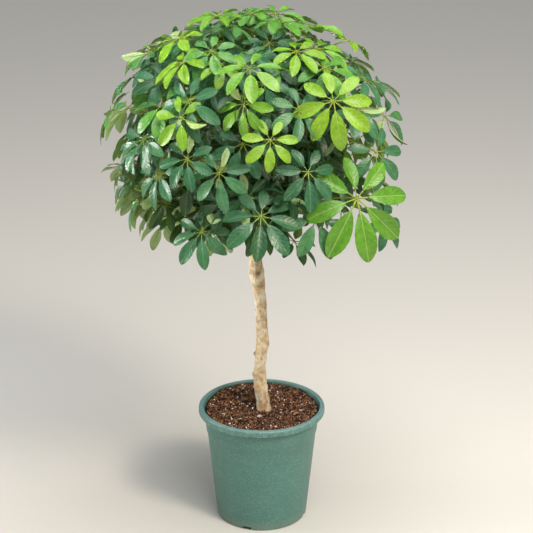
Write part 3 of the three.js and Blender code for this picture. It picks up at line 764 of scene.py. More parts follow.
def leaf_finish(name, tones, rib, under, stalk, through):
    """A leaf's material. Tones run from the oldest leaf to the freshest, the darkest of them holding painted
    shade for the inner leaves, and through is the share of light that comes through."""
    material, tree = blank(name)
    place = add(tree, "ShaderNodeTexCoord").outputs["Object"]
    kept = {n: add(tree, "ShaderNodeAttribute", attribute_name=n) for n in
            ("tint", "blade", "under", "woody", "on_leaflet")}

    # the colour of the blade: its own tone, which on inner leaves holds painted shade, mottled over a few
    # millimetres
    ramp = add(tree, "ShaderNodeValToRGB", {"Fac": kept["tint"].outputs["Fac"]})
    set_stops(ramp, [(k / (len(tones) - 1), tone) for k, tone in enumerate(tones)])
    mottle = add(tree, "ShaderNodeTexNoise", {"Vector": place, "Scale": 1 / (9 * MM), "Detail": 3.0})
    value = add(tree, "ShaderNodeMapRange", {0: mottle.outputs["Fac"], 1: 0.3, 2: 0.7, 3: 0.82, 4: 1.18})
    mottled = add(tree, "ShaderNodeHueSaturation", {"Value": value, "Color": ramp.outputs["Color"]})

    # midrib and side veins, from the place on the leaflet
    t, across, _ = add(tree, "ShaderNodeSeparateXYZ", {0: kept["on_leaflet"].outputs["Vector"]}).outputs
    aside = add(tree, "ShaderNodeMath", {0: across}, operation="ABSOLUTE")
    midrib = add(tree, "ShaderNodeMapRange", {
        0: aside, 1: 0.3 * RIB_WIDTH, 2: 0.8 * RIB_WIDTH, 3: 0.55, 4: 0.0})
    slant = add(tree, "ShaderNodeMath", {0: aside, 1: -1.1, 2: t}, operation="MULTIPLY_ADD")
    beat = add(tree, "ShaderNodeMath", {0: slant, 1: 2 * math.pi * SIDE_VEINS}, operation="MULTIPLY")
    wave = add(tree, "ShaderNodeMath", {0: beat}, operation="COSINE")
    veins = add(tree, "ShaderNodeMapRange", {0: wave, 1: 0.7, 2: 1.0, 3: 0.0, 4: 0.06})
    ribs = add(tree, "ShaderNodeMath", {0: midrib, 1: veins}, operation="MAXIMUM")
    veined = add(tree, "ShaderNodeMix", {"Factor": ribs, "A": mottled, "B": linear(rib)}, data_type="RGBA")

    # dust and the lime of dried drops: flecks of 1 to 3 mm, a little larger than life so that they show
    drops = add(tree, "ShaderNodeTexNoise", {
        "Vector": place, "Scale": 1 / (4 * MM), "Detail": 5.0, "Roughness": 0.7})
    # the dark leaves inside the crown stay clean, because neither dust nor water reaches them
    outside = add(tree, "ShaderNodeMapRange", {
        0: kept["tint"].outputs["Fac"], 1: 0.12, 2: 0.25, 3: 0.0, 4: 0.34})
    spots = add(tree, "ShaderNodeMapRange", {0: drops.outputs["Fac"], 1: 0.54, 2: 0.78, 3: 0.0, 4: outside})
    dusty = add(tree, "ShaderNodeMix", {"Factor": spots, "A": veined, "B": linear("#c3d2bd")},
                data_type="RGBA")

    # underside and stalks
    lower = add(tree, "ShaderNodeMix", {"Factor": ribs, "A": linear(under), "B": linear("#dbe2b4")},
                data_type="RGBA")
    both = add(tree, "ShaderNodeMix", {"Factor": kept["under"].outputs["Fac"], "A": dusty, "B": lower},
               data_type="RGBA")
    wood = add(tree, "ShaderNodeMix", {"Factor": kept["woody"].outputs["Fac"], "A": linear(stalk),
                                       "B": linear("#8d7f58")}, data_type="RGBA")
    colour = add(tree, "ShaderNodeMix", {"Factor": kept["blade"].outputs["Fac"], "A": wood, "B": both},
                 data_type="RGBA")

    # the waxed side is smooth, and the wax lies unevenly; the underside is dull
    wax = add(tree, "ShaderNodeMapRange", {0: mottle.outputs["Fac"], 1: 0.3, 2: 0.7, 3: 0.24, 4: 0.48})
    rough = add(tree, "ShaderNodeMix", {"Factor": kept["under"].outputs["Fac"], "A": wax, "B": 0.75})
    swell = add(tree, "ShaderNodeTexNoise", {"Vector": place, "Scale": 1 / (16 * MM), "Detail": 1.0})
    quilted = add(tree, "ShaderNodeMath", {0: wave, 1: -0.07, 2: swell.outputs["Fac"]},
                  operation="MULTIPLY_ADD")
    height = add(tree, "ShaderNodeMath", {0: midrib, 1: -0.25, 2: quilted}, operation="MULTIPLY_ADD")
    bump = add(tree, "ShaderNodeBump", {"Strength": 0.6, "Distance": 3 * MM, "Height": height})
    skin_shader = add(tree, "ShaderNodeBsdfPrincipled", {
        "Base Color": colour, "Roughness": rough, "Normal": bump, "Specular IOR Level": 0.4,
        "Coat Weight": 0.3, "Coat Roughness": 0.28})
    # light that comes through is yellower than what is reflected; it passes both skins of the blade
    glow = add(tree, "ShaderNodeBsdfTranslucent", {"Color": linear("#c8e67a"), "Normal": bump})
    mixed = add(tree, "ShaderNodeMixShader", {0: through, 1: skin_shader, 2: glow})
    add(tree, "ShaderNodeOutputMaterial", {"Surface": mixed})
    return material


# the first, nearly black tone goes to the inner leaves: the green of old leaves darkened with painted shade
mature_leaf = leaf_finish(
    "waxed_mature_blade", ["#08190a", "#28624a", "#407a56", "#5f9f38", "#8abb37"],
    rib="#8db070", under="#afc88c", stalk="#94a845", through=0.25)
young_leaf = leaf_finish(
    "waxed_young_blade", ["#4a8c33", "#63a02b", "#7fb228", "#93c02e"],
    rib="#cfe08a", under="#b3cb7c", stalk="#aabb45", through=0.33)
print("leaf finishes:", mature_leaf.name, young_leaf.name)

# %% [markdown]
# ## Sprays
# Each spray takes the place of its solid in the frame: the same stem, the same leaves in the same places,
# and some of the inner leaves. A leaflet gets small differences of its own in droop, fold, twist and
# colour. A few are turned over on their short stalks and show their pale underside, as on a plant that was
# moved lately.

# %% Stalks as chains of points
STALK = SimpleNamespace(
    points=8,  # along it
    foot=1.9,  # its radius on the stem,
    middle=1.15,  # over most of its length,
    neck=1.3,  # near its end
    hub=2.3,  # and under the leaflets
    radii_at=(0, 0.12, 0.9, 1),  # where it has those four, as shares of its length
    bow=0.05,  # it bows up by this share of its length
    cap=1.6,  # and ends this far over the hub,
    cap_share=0.6,  # with this share of its radius there
)


def chain(points, thick, woody):
    return SimpleNamespace(points=points, thick=thick, woody=woody)


def stem_chain(stem):
    shares = np.linspace(0, 1, STALK.points)
    points = stem.root + (stem.tip - stem.root) * shares[:, None]
    thick = STEM.root + (STEM.tip - STEM.root) * shares
    return chain(points, thick, STEM.woody - STEM.greener * shares)


def stalk_chain(leaf):
    """From its swollen foot on the stem, a little bowed, to the pale knob that the leaflets stand on."""
    shares = np.linspace(0, 1, STALK.points)
    line = leaf.hub - leaf.foot
    lift = UP - unit(line) * (UP @ unit(line))
    bow = STALK.bow * np.linalg.norm(line) * 4 * shares * (1 - shares)
    points = leaf.foot + line * shares[:, None] + lift * bow[:, None]
    thick = np.interp(shares, STALK.radii_at, (STALK.foot, STALK.middle, STALK.neck, STALK.hub))
    points = np.vstack([points, leaf.hub + leaf.axis * STALK.cap])
    return chain(points, np.append(thick, STALK.hub * STALK.cap_share), np.zeros(len(points)))


# %% How fresh each green is, and the painted shade inside the crown
FRESH = SimpleNamespace(
    young=0.35,  # the least on a young stem,
    young_age=0.5,  # and what a leaf's age changes there
    least=0.2,  # the least on another stem,
    age=0.3,  # and what age changes there,
    age_power=1.3,  # over 1, because most leaves are old
    sun=0.5,  # what the light at the top adds,
    inner_sun=0.7,  # also to an inner leaf,
    inner_power=3,  # but only near the very top
)


def tint_of(leaf):
    """How fresh a leaf's green is, from 0 to 1; the low values of inner leaves also hold painted shade."""
    if leaf.shoot:
        return FRESHNESS[leaf.shoot - 1]
    age = draw(leaf.seed, 7)
    if leaf.stem.young:
        return FRESH.young + FRESH.young_age * age
    sunny = max(0, leaf.hub[2] - CROWN.middle[2]) / CROWN.rise
    # an inner leaf gets a low value, so its nearly black tone is partly age and partly painted shade
    if leaf.seed >= INNER.seed:
        return INNER.shade * age + FRESH.inner_sun * sunny**FRESH.inner_power
    return FRESH.least + FRESH.age * age**FRESH.age_power + FRESH.sun * sunny


# %% Leaflets as loose points
LOOK = SimpleNamespace(
    twist=0.5,  # radians, half of it each way
    over_share=0.045,  # share of the leaflets that are turned over,
    over=(2.3, 3.1),  # and by how many radians
    fold=(0.2, 0.6),  # how steeply the two sides rise from the rib
    curl=(-2.2, 0.8),  # how far the margin stands over the blade
    wave=(0.2, 1.3),  # how far it waves
    droop=(0.72, 1.3),  # against the leaf's own droop
    flat=0.02,  # each leaflet of a leaf stands this far over the one before, so that none share a plane
    tint_spread=0.14,
)
# [row in the list of chosen leaves, leaflet] of those that show their pale underside in the photograph
TURNED_OVER = {(3, 1), (4, 3), (4, 4), (6, 5), (20, 3), (21, 3), (22, 3), (22, 4), (22, 5)}


def between(limits, share):
    return limits[0] + (limits[1] - limits[0]) * share


def leaflet_point(leaf, leaflet, i):
    """Where a leaflet stands, how it is turned, and how it bends, with its own small differences."""
    own = [draw(leaf.seed * 10 + i, k) for k in range(200, 209)]
    along, across, axis = leaflet.along, leaflet.across, leaf.axis
    twist = LOOK.twist * (own[2] - 0.5)
    if (leaf.seed - CHOSEN_SEED, i) in TURNED_OVER or (own[0] < LOOK.over_share and not leaf.shoot):
        twist += between(LOOK.over, own[1])
    across, axis = (across * math.cos(twist) + axis * math.sin(twist),
                    axis * math.cos(twist) - across * math.sin(twist))
    length = leaflet.length
    fall = DROOP * length**2 / leaf.reach * between(LOOK.droop, own[3])
    bend = (LIFT * length, fall, between(LOOK.fold, own[4]) * length)
    ripple = (between(LOOK.curl, own[5]), between(LOOK.wave, own[6]), 2 * math.pi * own[7])
    tint = tint_of(leaf) + LOOK.tint_spread * (own[8] - 0.5)
    return SimpleNamespace(
        hub=leaf.hub + leaf.axis * LOOK.flat * i, size=length, out=axis, bend=np.array(bend),
        ripple=np.array(ripple) * (MM, MM, 1), tint=min(1, max(0, tint)),
        turned=Matrix(np.column_stack([along, across, axis]).tolist()).to_quaternion(),
    )


# %% Sprays
STALK_SIDES = 6
NEEDED_BY_TREE = ("is_leaflet", "turned", "size", "thick", "out", "bend", "ripple")


def mesh_of(name, points, faces, edges=()):
    """A smooth mesh in metres out of points in millimetres."""
    mesh = bpy.data.meshes.new(name)
    mesh.from_pydata(np.asarray(points) * MM, edges, faces)
    mesh.shade_smooth()
    return mesh


def spray_start(stem):
    """The bare mesh of a spray: chains of edges for its stalks, and a loose point for each leaflet."""
    leaves = [leaf for leaf in settled if leaf.stem is stem]
    chains = [stem_chain(stem), *map(stalk_chain, leaves)]
    loose = [leaflet_point(leaf, leaflet, i)
             for leaf in leaves for i, leaflet in enumerate(leaflets_of(leaf))]
    ends = np.cumsum([0] + [len(c.points) for c in chains])
    edges = [(k, k + 1) for a, b in zip(ends, ends[1:]) for k in range(a, b - 1)]
    stalk_count, count = ends[-1], len(loose)
    mesh = mesh_of(stem.name, np.vstack([*(c.points for c in chains), *(p.hub for p in loose)]), [], edges)

    def both(of_stalks, of_leaflets):
        return np.concatenate([of_stalks, of_leaflets])

    none = np.zeros((stalk_count, 3))
    store(mesh, "is_leaflet", "BOOLEAN", both(np.zeros(stalk_count, bool), np.ones(count, bool)))
    store(mesh, "thick", "FLOAT", both(np.hstack([c.thick for c in chains]) * MM, np.zeros(count)))
    store(mesh, "woody", "FLOAT", both(np.hstack([c.woody for c in chains]), np.zeros(count)))
    store(mesh, "size", "FLOAT", both(none[:, 0], np.array([p.size for p in loose]) * MM))
    store(mesh, "tint", "FLOAT", both(none[:, 0], np.array([p.tint for p in loose])))
    store(mesh, "out", "FLOAT_VECTOR", both(none, np.array([p.out for p in loose])))
    store(mesh, "bend", "FLOAT_VECTOR", both(none, np.array([p.bend for p in loose]) * MM))
    store(mesh, "ripple", "FLOAT_VECTOR", both(none, np.array([p.ripple for p in loose])))
    upright = np.tile((1.0, 0, 0, 0), (stalk_count, 1))
    store(mesh, "turned", "QUATERNION", both(upright, np.array([p.turned for p in loose])))
    return mesh


def make_spray(stem):
    finish, slot = (young_leaf, "young_leaf") if stem.young else (mature_leaf, "mature_leaf")
    piece = grown(stem.name + "_leaves", spray_start(stem), spray_nodes, {
        "Leaflet": leaflet_shape, "Finish": finish, "Stalk sides": STALK_SIDES, "Ripples": RIPPLES})
    for name in NEEDED_BY_TREE:
        piece.data.attributes.remove(piece.data.attributes[name])
    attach(piece, "root")
    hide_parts(stem.name)
    return piece


sprays = [make_spray(stem) for stem in stems]
bpy.data.objects.remove(leaflet_shape)
print("sprays:", len(sprays), "; faces:", sum(len(piece.data.polygons) for piece in sprays))

# %% [markdown]
# ## Bare stem
# The stem is three years of wood without leaves: pale tan bark with fine cracks, a double bend, and a
# swelling with a scar wherever a leaf or a twig once stood. It is a stack of rings along its middle line.
# Their points are moved in and out by noise for the bark, and by round bumps for the scars, because bark
# this coarse shows in the outline, where a bump map would not.

# %% Bare stem
BARK_SIDES = 40
BARK_STEP = 2.6  # between rings
HOLE_DEPTH = 112  # how far down in the mix the stem stands
SOIL_TOP = 225  # height of the mix
FIRST_RING = 12  # its rings start this far under the mix,
SMOOTH_FOOT = 5  # and the bark's lumps this far
BARK_LUMPS = ((22, 1.0), (7, 0.9), (3, 0.6))  # [size, how far they move the bark]
# [height, degrees round from +X, reach round it, how far it stands out, how dark it is]
SCARS = [
    (346, 188, 6, 4.0, 0.6), (299, 185, 8, 2.4, 0.3), (402, 195, 5, 1.6, 0.2), (436, 190, 4, 1.6, 0.2),
    (368, 335, 8, 1.8, 0.6), (517, 285, 6, -1.4, 1.0), (512, 170, 9, 1.4, 0.2), (405, 300, 6, 1.2, 0.5),
    (419, 310, 5, 1.0, 0.6), (228, -30, 9, 4.0, 0.3), (375, 192, 5, 1.6, 0.3), (462, 20, 6, 1.4, 0.3),
    (415, 95, 7, 2.2, 0.5), (345, 80, 8, 2.4, 0.5), (290, 40, 7, 1.8, 0.3), (262, 130, 7, 1.5, 0.3),
    (500, 80, 8, 2.2, 0.6), (560, 200, 7, 2.0, 0.5),
]


def lumps(spot, sizes):
    """How far a spot is moved by noise of several sizes."""
    return sum(far * noise.noise(spot / size) for size, far in sizes)


def on_wood(z, turn):
    """The wood's middle and radius at a height, and the way out of it at a turn."""
    middle, radius = trunk_at(z)
    return middle, radius, np.array((math.cos(turn), math.sin(turn), 0))


def scar_spots():
    for height, degrees, *scar in SCARS:
        middle, radius, way = on_wood(height, math.radians(degrees))
        yield Vector(middle + radius * way), *scar


def bark_ring(z, scars):
    """A ring of the stem, and how dark each of its points is."""
    points, dark = [], []
    for i in range(BARK_SIDES):
        middle, radius, way = on_wood(z, 2 * math.pi * i / BARK_SIDES)
        spot = Vector(middle + way * radius)
        out, shade = lumps(spot, BARK_LUMPS), 0
        for scar, reach, stand, depth in scars:
            near = math.exp(-(((spot - scar).length / reach) ** 2) * 2)
            out += stand * near
            shade = max(shade, depth * near)
        points.append(middle + way * (radius + (out if z > SOIL_TOP - SMOOTH_FOOT else 0)))
        dark.append(shade)
    return np.array(points), dark


# %% Bark finish
def bark_finish():
    """Wood bark: dry and matt, cream to tan, with ochre patches, grey lichen and dark cracks."""
    material, tree = blank("bark")
    place = add(tree, "ShaderNodeTexCoord").outputs["Object"]
    tall = add(tree, "ShaderNodeMapping", {"Vector": place, "Scale": (1, 1, 0.45)})
    patches = add(tree, "ShaderNodeTexNoise", {"Vector": place, "Scale": 1 / (16 * MM), "Detail": 5.0})
    ramp = add(tree, "ShaderNodeValToRGB", {"Fac": patches.outputs["Fac"]})
    set_stops(ramp, ((0.28, "#b0926c"), (0.4, "#d3b78f"), (0.52, "#ead5b3"), (0.7, "#f8efdc")))
    ochre = add(tree, "ShaderNodeTexNoise", {
        "Vector": tall, "Scale": 1 / (21 * MM), "Detail": 2.0, "Distortion": 0.6})
    warm = add(tree, "ShaderNodeMapRange", {0: ochre.outputs["Fac"], 1: 0.55, 2: 0.68, 3: 0.0, 4: 0.75})
    stained = add(tree, "ShaderNodeMix", {"Factor": warm, "A": ramp.outputs["Color"], "B": linear("#cf9440")},
                  data_type="RGBA")
    lichen = add(tree, "ShaderNodeTexNoise", {
        "Vector": place, "Scale": 1 / (9 * MM), "Detail": 6.0, "Roughness": 0.7})
    grey = add(tree, "ShaderNodeMapRange", {0: lichen.outputs["Fac"], 1: 0.54, 2: 0.68, 3: 0.0, 4: 0.6})
    tinted = add(tree, "ShaderNodeMix", {"Factor": grey, "A": stained, "B": linear("#9c917f")},
                 data_type="RGBA")
    # pits and short cracks, 1 to 3 mm wide and longer up the stem
    cracks = add(tree, "ShaderNodeTexNoise", {
        "Vector": tall, "Scale": 1 / (3 * MM), "Detail": 6.0, "Roughness": 0.65})
    crack = add(tree, "ShaderNodeMapRange", {0: cracks.outputs["Fac"], 1: 0.34, 2: 0.46, 3: 0.6, 4: 0.0})
    grit = add(tree, "ShaderNodeTexNoise", {"Vector": place, "Scale": 1 / (2.5 * MM), "Detail": 4.0})
    speck = add(tree, "ShaderNodeMapRange", {0: grit.outputs["Fac"], 1: 0.6, 2: 0.7, 3: 0.0, 4: 0.3})
    worn = add(tree, "ShaderNodeMath", {0: crack, 1: speck}, operation="MAXIMUM")
    scar = add(tree, "ShaderNodeAttribute", attribute_name="scar")
    dark = add(tree, "ShaderNodeMath", {0: scar.outputs["Fac"], 1: worn}, operation="MAXIMUM")
    colour = add(tree, "ShaderNodeMix", {"Factor": dark, "A": tinted, "B": linear("#6a4a33")},
                 data_type="RGBA")
    height = add(tree, "ShaderNodeMath", {0: grit.outputs["Fac"], 1: crack}, operation="SUBTRACT")
    bump = add(tree, "ShaderNodeBump", {"Strength": 0.8, "Distance": 1 * MM, "Height": height})
    shader = add(tree, "ShaderNodeBsdfPrincipled", {"Base Color": colour, "Roughness": 0.82, "Normal": bump})
    add(tree, "ShaderNodeOutputMaterial", {"Surface": shader})
    return material


# %% The bare stem's mesh
CLEAR = 0.3  # what touching pieces leave between them


def make_trunk():
    foot, top = SOIL_TOP - HOLE_DEPTH + CLEAR, TRUNK_LINE[-1][0]
    heights = [foot, *np.arange(SOIL_TOP - FIRST_RING, top, BARK_STEP), top]
    scars = list(scar_spots())
    rings = [bark_ring(z, scars) for z in heights]
    poles = [np.array([(0, 0, foot)]), trunk_at(top)[0][None]]
    points, faces = skin([poles[0], *(ring for ring, _ in rings), poles[1]])
    mesh = mesh_of("trunk_bark", points, faces)
    store(mesh, "scar", "FLOAT", [0, *(shade for _, dark in rings for shade in dark), 0])
    mesh.materials.append(bark_finish())
    return placed("trunk_bark", mesh)


trunk = make_trunk()
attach(trunk, "root")
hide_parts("trunk")
print("faces of the bare stem:", len(trunk.data.polygons))

# %% [markdown]
# ## Pot
# The pot is moulded in one shot from recycled polypropylene, coloured green. It is a turned shape: a
# section line from the middle of the foot up the outside, over the rolled rim and its groove, and down the
# inside. The mould leaves a step where stacked pots rest in each other, and four drain notches are cut from
# the foot.

# %% Pot section
POT = SimpleNamespace(
    height=234.5,
    rim=125,  # its radius outside,
    rim_inner=115.5,  # and inside
    rim_height=12,
    rim_round=4,  # rounding of its upper edge,
    lip=1.6,  # of its lower one,
    inner_round=1.5,  # and of its inner one
    groove=((120.6, 0), (120.1, 0.9), (119.4, 0.9), (118.9, 0)),  # [radius, depth] across its top
    neck=114,  # outside radius of the wall, right under the rim,
    neck_round=1.2,  # with a small hollow rounding there
    step_drop=51,  # the stacking step's place, under the top
    step_depth=1.5,
    step_half=1.2,  # half its height
    base=90,  # outside radius of the foot
    base_round=3,
    wall=2.5,
    floor=4,
    notches=4,
    notch=(18, 18, 14),  # the block that cuts a drain notch: in, across and up
    notch_turn=-109,  # degrees round from the right to the first one
    sides=144,
)
RIM_UNDER = POT.height - POT.rim_height
STEP_Z = POT.height - POT.step_drop


def pot_radius(z):
    """The outside radius of the pot's wall at a height."""
    straight = POT.base + (POT.neck - POT.base) / RIM_UNDER * z
    return straight - POT.step_depth * min(1, z / STEP_Z) if z < STEP_Z else straight


def bow(r, z, radius, start, end, steps=5):
    """Points of an arc about (r, z), by degrees from straight out."""
    return [(r + radius * math.cos(math.radians(a)), z + radius * math.sin(math.radians(a)))
            for a in np.linspace(start, end, steps)]


def pot_section():
    """Points [radius, height] from the foot up the outside, over the rim and down the inside."""
    above, below = STEP_Z + POT.step_half, STEP_Z - POT.step_half
    # the straight walls keep a few millimetres clear of the roundings
    outer = [(pot_radius(z), z) for z in np.linspace(POT.base_round + 4, below, 8)]
    upper = [(pot_radius(z), z) for z in np.linspace(above, RIM_UNDER - 1.5, 4)]
    inner = [(pot_radius(z) - POT.wall, z) for z in (above, below, 90, POT.floor)]
    return [
        *bow(POT.base - POT.base_round, POT.base_round, POT.base_round, -90, 0),
        *outer,
        *upper,
        *bow(POT.neck + POT.neck_round, RIM_UNDER - POT.neck_round, POT.neck_round, 180, 90, 3),
        *bow(POT.rim - POT.lip, RIM_UNDER + POT.lip, POT.lip, -90, 0, 4),
        *bow(POT.rim - POT.rim_round, POT.height - POT.rim_round, POT.rim_round, 0, 90),
        *[(r, POT.height - depth) for r, depth in POT.groove],
        *bow(POT.rim_inner + POT.inner_round, POT.height - POT.inner_round, POT.inner_round, 90, 180, 4),
        (POT.neck - POT.wall, RIM_UNDER - 4),
        *inner,
    ]


print("points in the pot's section:", len(pot_section()))


# %% A turned shape
def circle(r, z, sides):
    """A ring of points about the middle line."""
    turns = 2 * math.pi * np.arange(sides) / sides
    return np.column_stack([r * np.cos(turns), r * np.sin(turns), np.full(sides, z)])


def turned(name, section, sides, bottom, top, move=lambda p: p):
    """A closed shape turned about the middle line, from a pole at one height to a pole at another."""
    rings = [circle(r, z, sides) for r, z in section]
    points, faces = skin([np.array([(0, 0, bottom)]), *rings, np.array([(0, 0, top)])])
    return mesh_of(name, np.array([move(p) for p in points]), faces)


# %% Drain notches
BLOCK_FACES = ((0, 1, 3, 2), (4, 6, 7, 5), (0, 4, 5, 1), (2, 3, 7, 6), (0, 2, 6, 4), (1, 5, 7, 3))


def cut_notches(pot):
    """Cuts the drain notches out of the foot."""
    faces, corners = [], []
    for k in range(POT.notches):
        turn = math.radians(POT.notch_turn + 360 / POT.notches * k)
        cos, sin = math.cos(turn), math.sin(turn)
        for sign in np.ndindex(2, 2, 2):
            r, s, z = (np.array(sign) - 0.5) * POT.notch
            r += POT.base
            corners.append((r * cos - s * sin, r * sin + s * cos, z))
        faces += [tuple(8 * k + i for i in face) for face in BLOCK_FACES]
    cutter = placed("notches", mesh_of("notches", corners, faces))
    cut = pot.modifiers.new("notches", "BOOLEAN")
    cut.operation, cut.object, cut.solver = "DIFFERENCE", cutter, "EXACT"
    graph = bpy.context.evaluated_depsgraph_get()
    mesh = bpy.data.meshes.new_from_object(pot.evaluated_get(graph))
    pot.modifiers.remove(cut)
    pot.data = mesh
    bpy.data.objects.remove(cutter)
    mesh.shade_smooth()
    mesh.set_sharp_from_angle(angle=math.radians(40))


# %% Pot finish
def pot_finish():
    """Moulded recycled polypropylene: half gloss, with a pale fleck in the colour and dust low down."""
    material, tree = blank("moulded_polypropylene")
    place = add(tree, "ShaderNodeTexCoord").outputs["Object"]
    drawn = add(tree, "ShaderNodeMapping", {"Vector": place, "Scale": (1, 1, 0.6)})
    cloud = add(tree, "ShaderNodeTexNoise", {"Vector": place, "Scale": 1 / (45 * MM), "Detail": 3.0})
    base = add(tree, "ShaderNodeMix", {"Factor": cloud.outputs["Fac"], "A": linear("#44726b"),
                                       "B": linear("#55857b")}, data_type="RGBA")
    # flecks of about 1 mm, drawn as 1.5 mm so that they show
    fleck = add(tree, "ShaderNodeTexNoise", {"Vector": drawn, "Scale": 1 / (1.5 * MM), "Detail": 3.0})
    pale = add(tree, "ShaderNodeMapRange", {0: fleck.outputs["Fac"], 1: 0.5, 2: 0.78, 3: 0.0, 4: 0.5})
    flecked = add(tree, "ShaderNodeMix", {"Factor": pale, "A": base, "B": linear("#a4c6bc")},
                  data_type="RGBA")
    # the top of the rim has a bluish painted reflection of the sky, and its lower edge a pale line that is
    # partly painted highlight and partly scuffs
    height = add(tree, "ShaderNodeSeparateXYZ", {0: place}).outputs["Z"]
    on_rim = add(tree, "ShaderNodeMapRange", {
        0: height, 1: (RIM_UNDER + 1) * MM, 2: (RIM_UNDER + 2.5) * MM, 3: 1.0, 4: 0.3})
    # a bluish painted reflection of the sky on the top of the rim
    top = add(tree, "ShaderNodeMapRange", {
        0: height, 1: (POT.height - 3.5) * MM, 2: (POT.height - 1) * MM, 3: 0.0, 4: 0.75})
    rim_with_painted_reflection = add(tree, "ShaderNodeMix", {"Factor": top, "A": flecked, "B": linear("#7ea3a8")},
                   data_type="RGBA")
    above_lip = add(tree, "ShaderNodeMapRange", {
        0: height, 1: (RIM_UNDER - 1) * MM, 2: (RIM_UNDER - 0.3) * MM, 3: 0.0, 4: 1.0})
    # a painted highlight along the rim's lower edge, fainter over the rim's face, broken by noise together
    # with scuffs
    edge = add(tree, "ShaderNodeMath", {0: on_rim, 1: above_lip}, operation="MULTIPLY")
    dust_and_highlight_noise = add(tree, "ShaderNodeTexNoise", {
        "Vector": place, "Scale": 1 / (9 * MM), "Detail": 6.0, "Roughness": 0.7})
    patchy_highlight_and_scuff = add(tree, "ShaderNodeMapRange", {0: dust_and_highlight_noise.outputs["Fac"], 1: 0.44, 2: 0.66, 3: 0.0, 4: 0.8})
    highlight_and_scuff = add(tree, "ShaderNodeMath", {0: patchy_highlight_and_scuff, 1: edge}, operation="MULTIPLY")
    highlit_and_scuffed = add(tree, "ShaderNodeMix", {"Factor": highlight_and_scuff, "A": rim_with_painted_reflection, "B": linear("#a9c8c0")},
                  data_type="RGBA")
    # soil dust on the lowest 25 mm
    low = add(tree, "ShaderNodeMapRange", {0: height, 1: 0.0, 2: 25 * MM, 3: 0.5, 4: 0.0})
    dust = add(tree, "ShaderNodeMath", {0: low, 1: dust_and_highlight_noise.outputs["Fac"]}, operation="MULTIPLY")
    colour = add(tree, "ShaderNodeMix", {"Factor": dust, "A": highlit_and_scuffed, "B": linear("#a89e86")},
                 data_type="RGBA")
    rough = add(tree, "ShaderNodeMapRange", {0: fleck.outputs["Fac"], 1: 0.3, 2: 0.7, 3: 0.4, 4: 0.52})
    bump = add(tree, "ShaderNodeBump", {
        "Strength": 0.25, "Distance": 0.3 * MM, "Height": fleck.outputs["Fac"]})
    shader = add(tree, "ShaderNodeBsdfPrincipled", {
        "Base Color": colour, "Roughness": rough, "Normal": bump, "IOR": 1.49})
    add(tree, "ShaderNodeOutputMaterial", {"Surface": shader})
    return material


# %% Pot
pot = placed("nursery_pot", turned("nursery_pot", pot_section(), POT.sides, 0, POT.floor))
cut_notches(pot)
pot.data.materials.clear()
pot.data.materials.append(pot_finish())
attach(pot, "root")
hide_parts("pot")
print("faces of the pot:", len(pot.data.polygons))

# %% [markdown]
# ## Potting mix
# The mix is composted bark and fibre, with white beads of perlite that keep it open. The body of it is a
# turned shape with a lumpy top and a plain hole for the stem. Its crumbs, beads and fibres are scattered
# over the top by one small Geometry Nodes tree, because they repeat by the hundred and only their number,
# size and shape differ. One pale stone lies in front of the stem.

# %% Body of the mix
SOIL = SimpleNamespace(
    sides=150,
    ring_step=2.4,  # between the rings of its top
    hole=14,  # radius of the stem's hole
    gap=2.8,  # between its side and the outside of the pot's wall
    lump=2.2,  # how far its lumps stand up
    lumps=((26, 1), (9, 0.7), (4, 0.55)),  # [size, share of that]
    behind=5.5,  # it was heaped up this much behind,
    left=2,  # and this much at the left,
    slope=105,  # over this distance
    shoulder=3,  # its side ends this far under its top
    margin=1.5,  # the bits lie this far inside its edge
)


def ease(x):
    """A smooth step from 0 to 1."""
    x = min(1, max(0, x))
    return x * x * (3 - 2 * x)


def lumpy(p):
    """Raises or lowers a point of the mix's top, and puts the hole where the stem stands."""
    if math.hypot(p[0], p[1]) < SOIL.hole + 1:
        return p + (TRUNK_LINE[0][1], 0, 0)
    if p[2] < SOIL_TOP - SOIL.shoulder / 2:
        return p
    heap = SOIL.behind * ease(p[1] / SOIL.slope) + SOIL.left * ease(-p[0] / SOIL.slope)
    return p + UP * (SOIL.lump * lumps(Vector(p), SOIL.lumps) + heap)


def soil_section():
    """Points [radius, height] from its foot up the side, over its top and down the hole."""
    heights = (POT.floor + CLEAR, STEP_Z - POT.step_half, STEP_Z + POT.step_half, SOIL_TOP - SOIL.shoulder)
    wall = [(pot_radius(z) - SOIL.gap, z) for z in heights]
    edge = pot_radius(SOIL_TOP) - SOIL.gap
    top = [(r, SOIL_TOP) for r in np.arange(edge, SOIL.hole, -SOIL.ring_step)]
    bottom = SOIL_TOP - HOLE_DEPTH
    return [*wall, *top, (SOIL.hole, SOIL_TOP), (SOIL.hole, bottom)]


# %% Finish of the mix
def mix_finish(name, tones, rough):
    """Composted bark, peat, fibre, perlite or stone: dry and matt, each crumb a tone of its own."""
    material, tree = blank(name)
    place = add(tree, "ShaderNodeTexCoord").outputs["Object"]
    own = add(tree, "ShaderNodeAttribute", attribute_name="tone")
    grain = add(tree, "ShaderNodeTexNoise", {
        "Vector": place, "Scale": 1 / (3.5 * MM), "Detail": 5.0, "Roughness": 0.65})
    spread = add(tree, "ShaderNodeMath", {0: own.outputs["Fac"], 1: 0.5, 2: grain.outputs["Fac"]},
                 operation="MULTIPLY_ADD")
    ramp = add(tree, "ShaderNodeValToRGB", {"Fac": spread})
    set_stops(ramp, tones)
    bump = add(tree, "ShaderNodeBump", {
        "Strength": 0.9, "Distance": 1.2 * MM, "Height": grain.outputs["Fac"]})
    shader = add(tree, "ShaderNodeBsdfPrincipled", {
        "Base Color": ramp.outputs["Color"], "Roughness": rough, "Normal": bump})
    add(tree, "ShaderNodeOutputMaterial", {"Surface": shader})
    return material


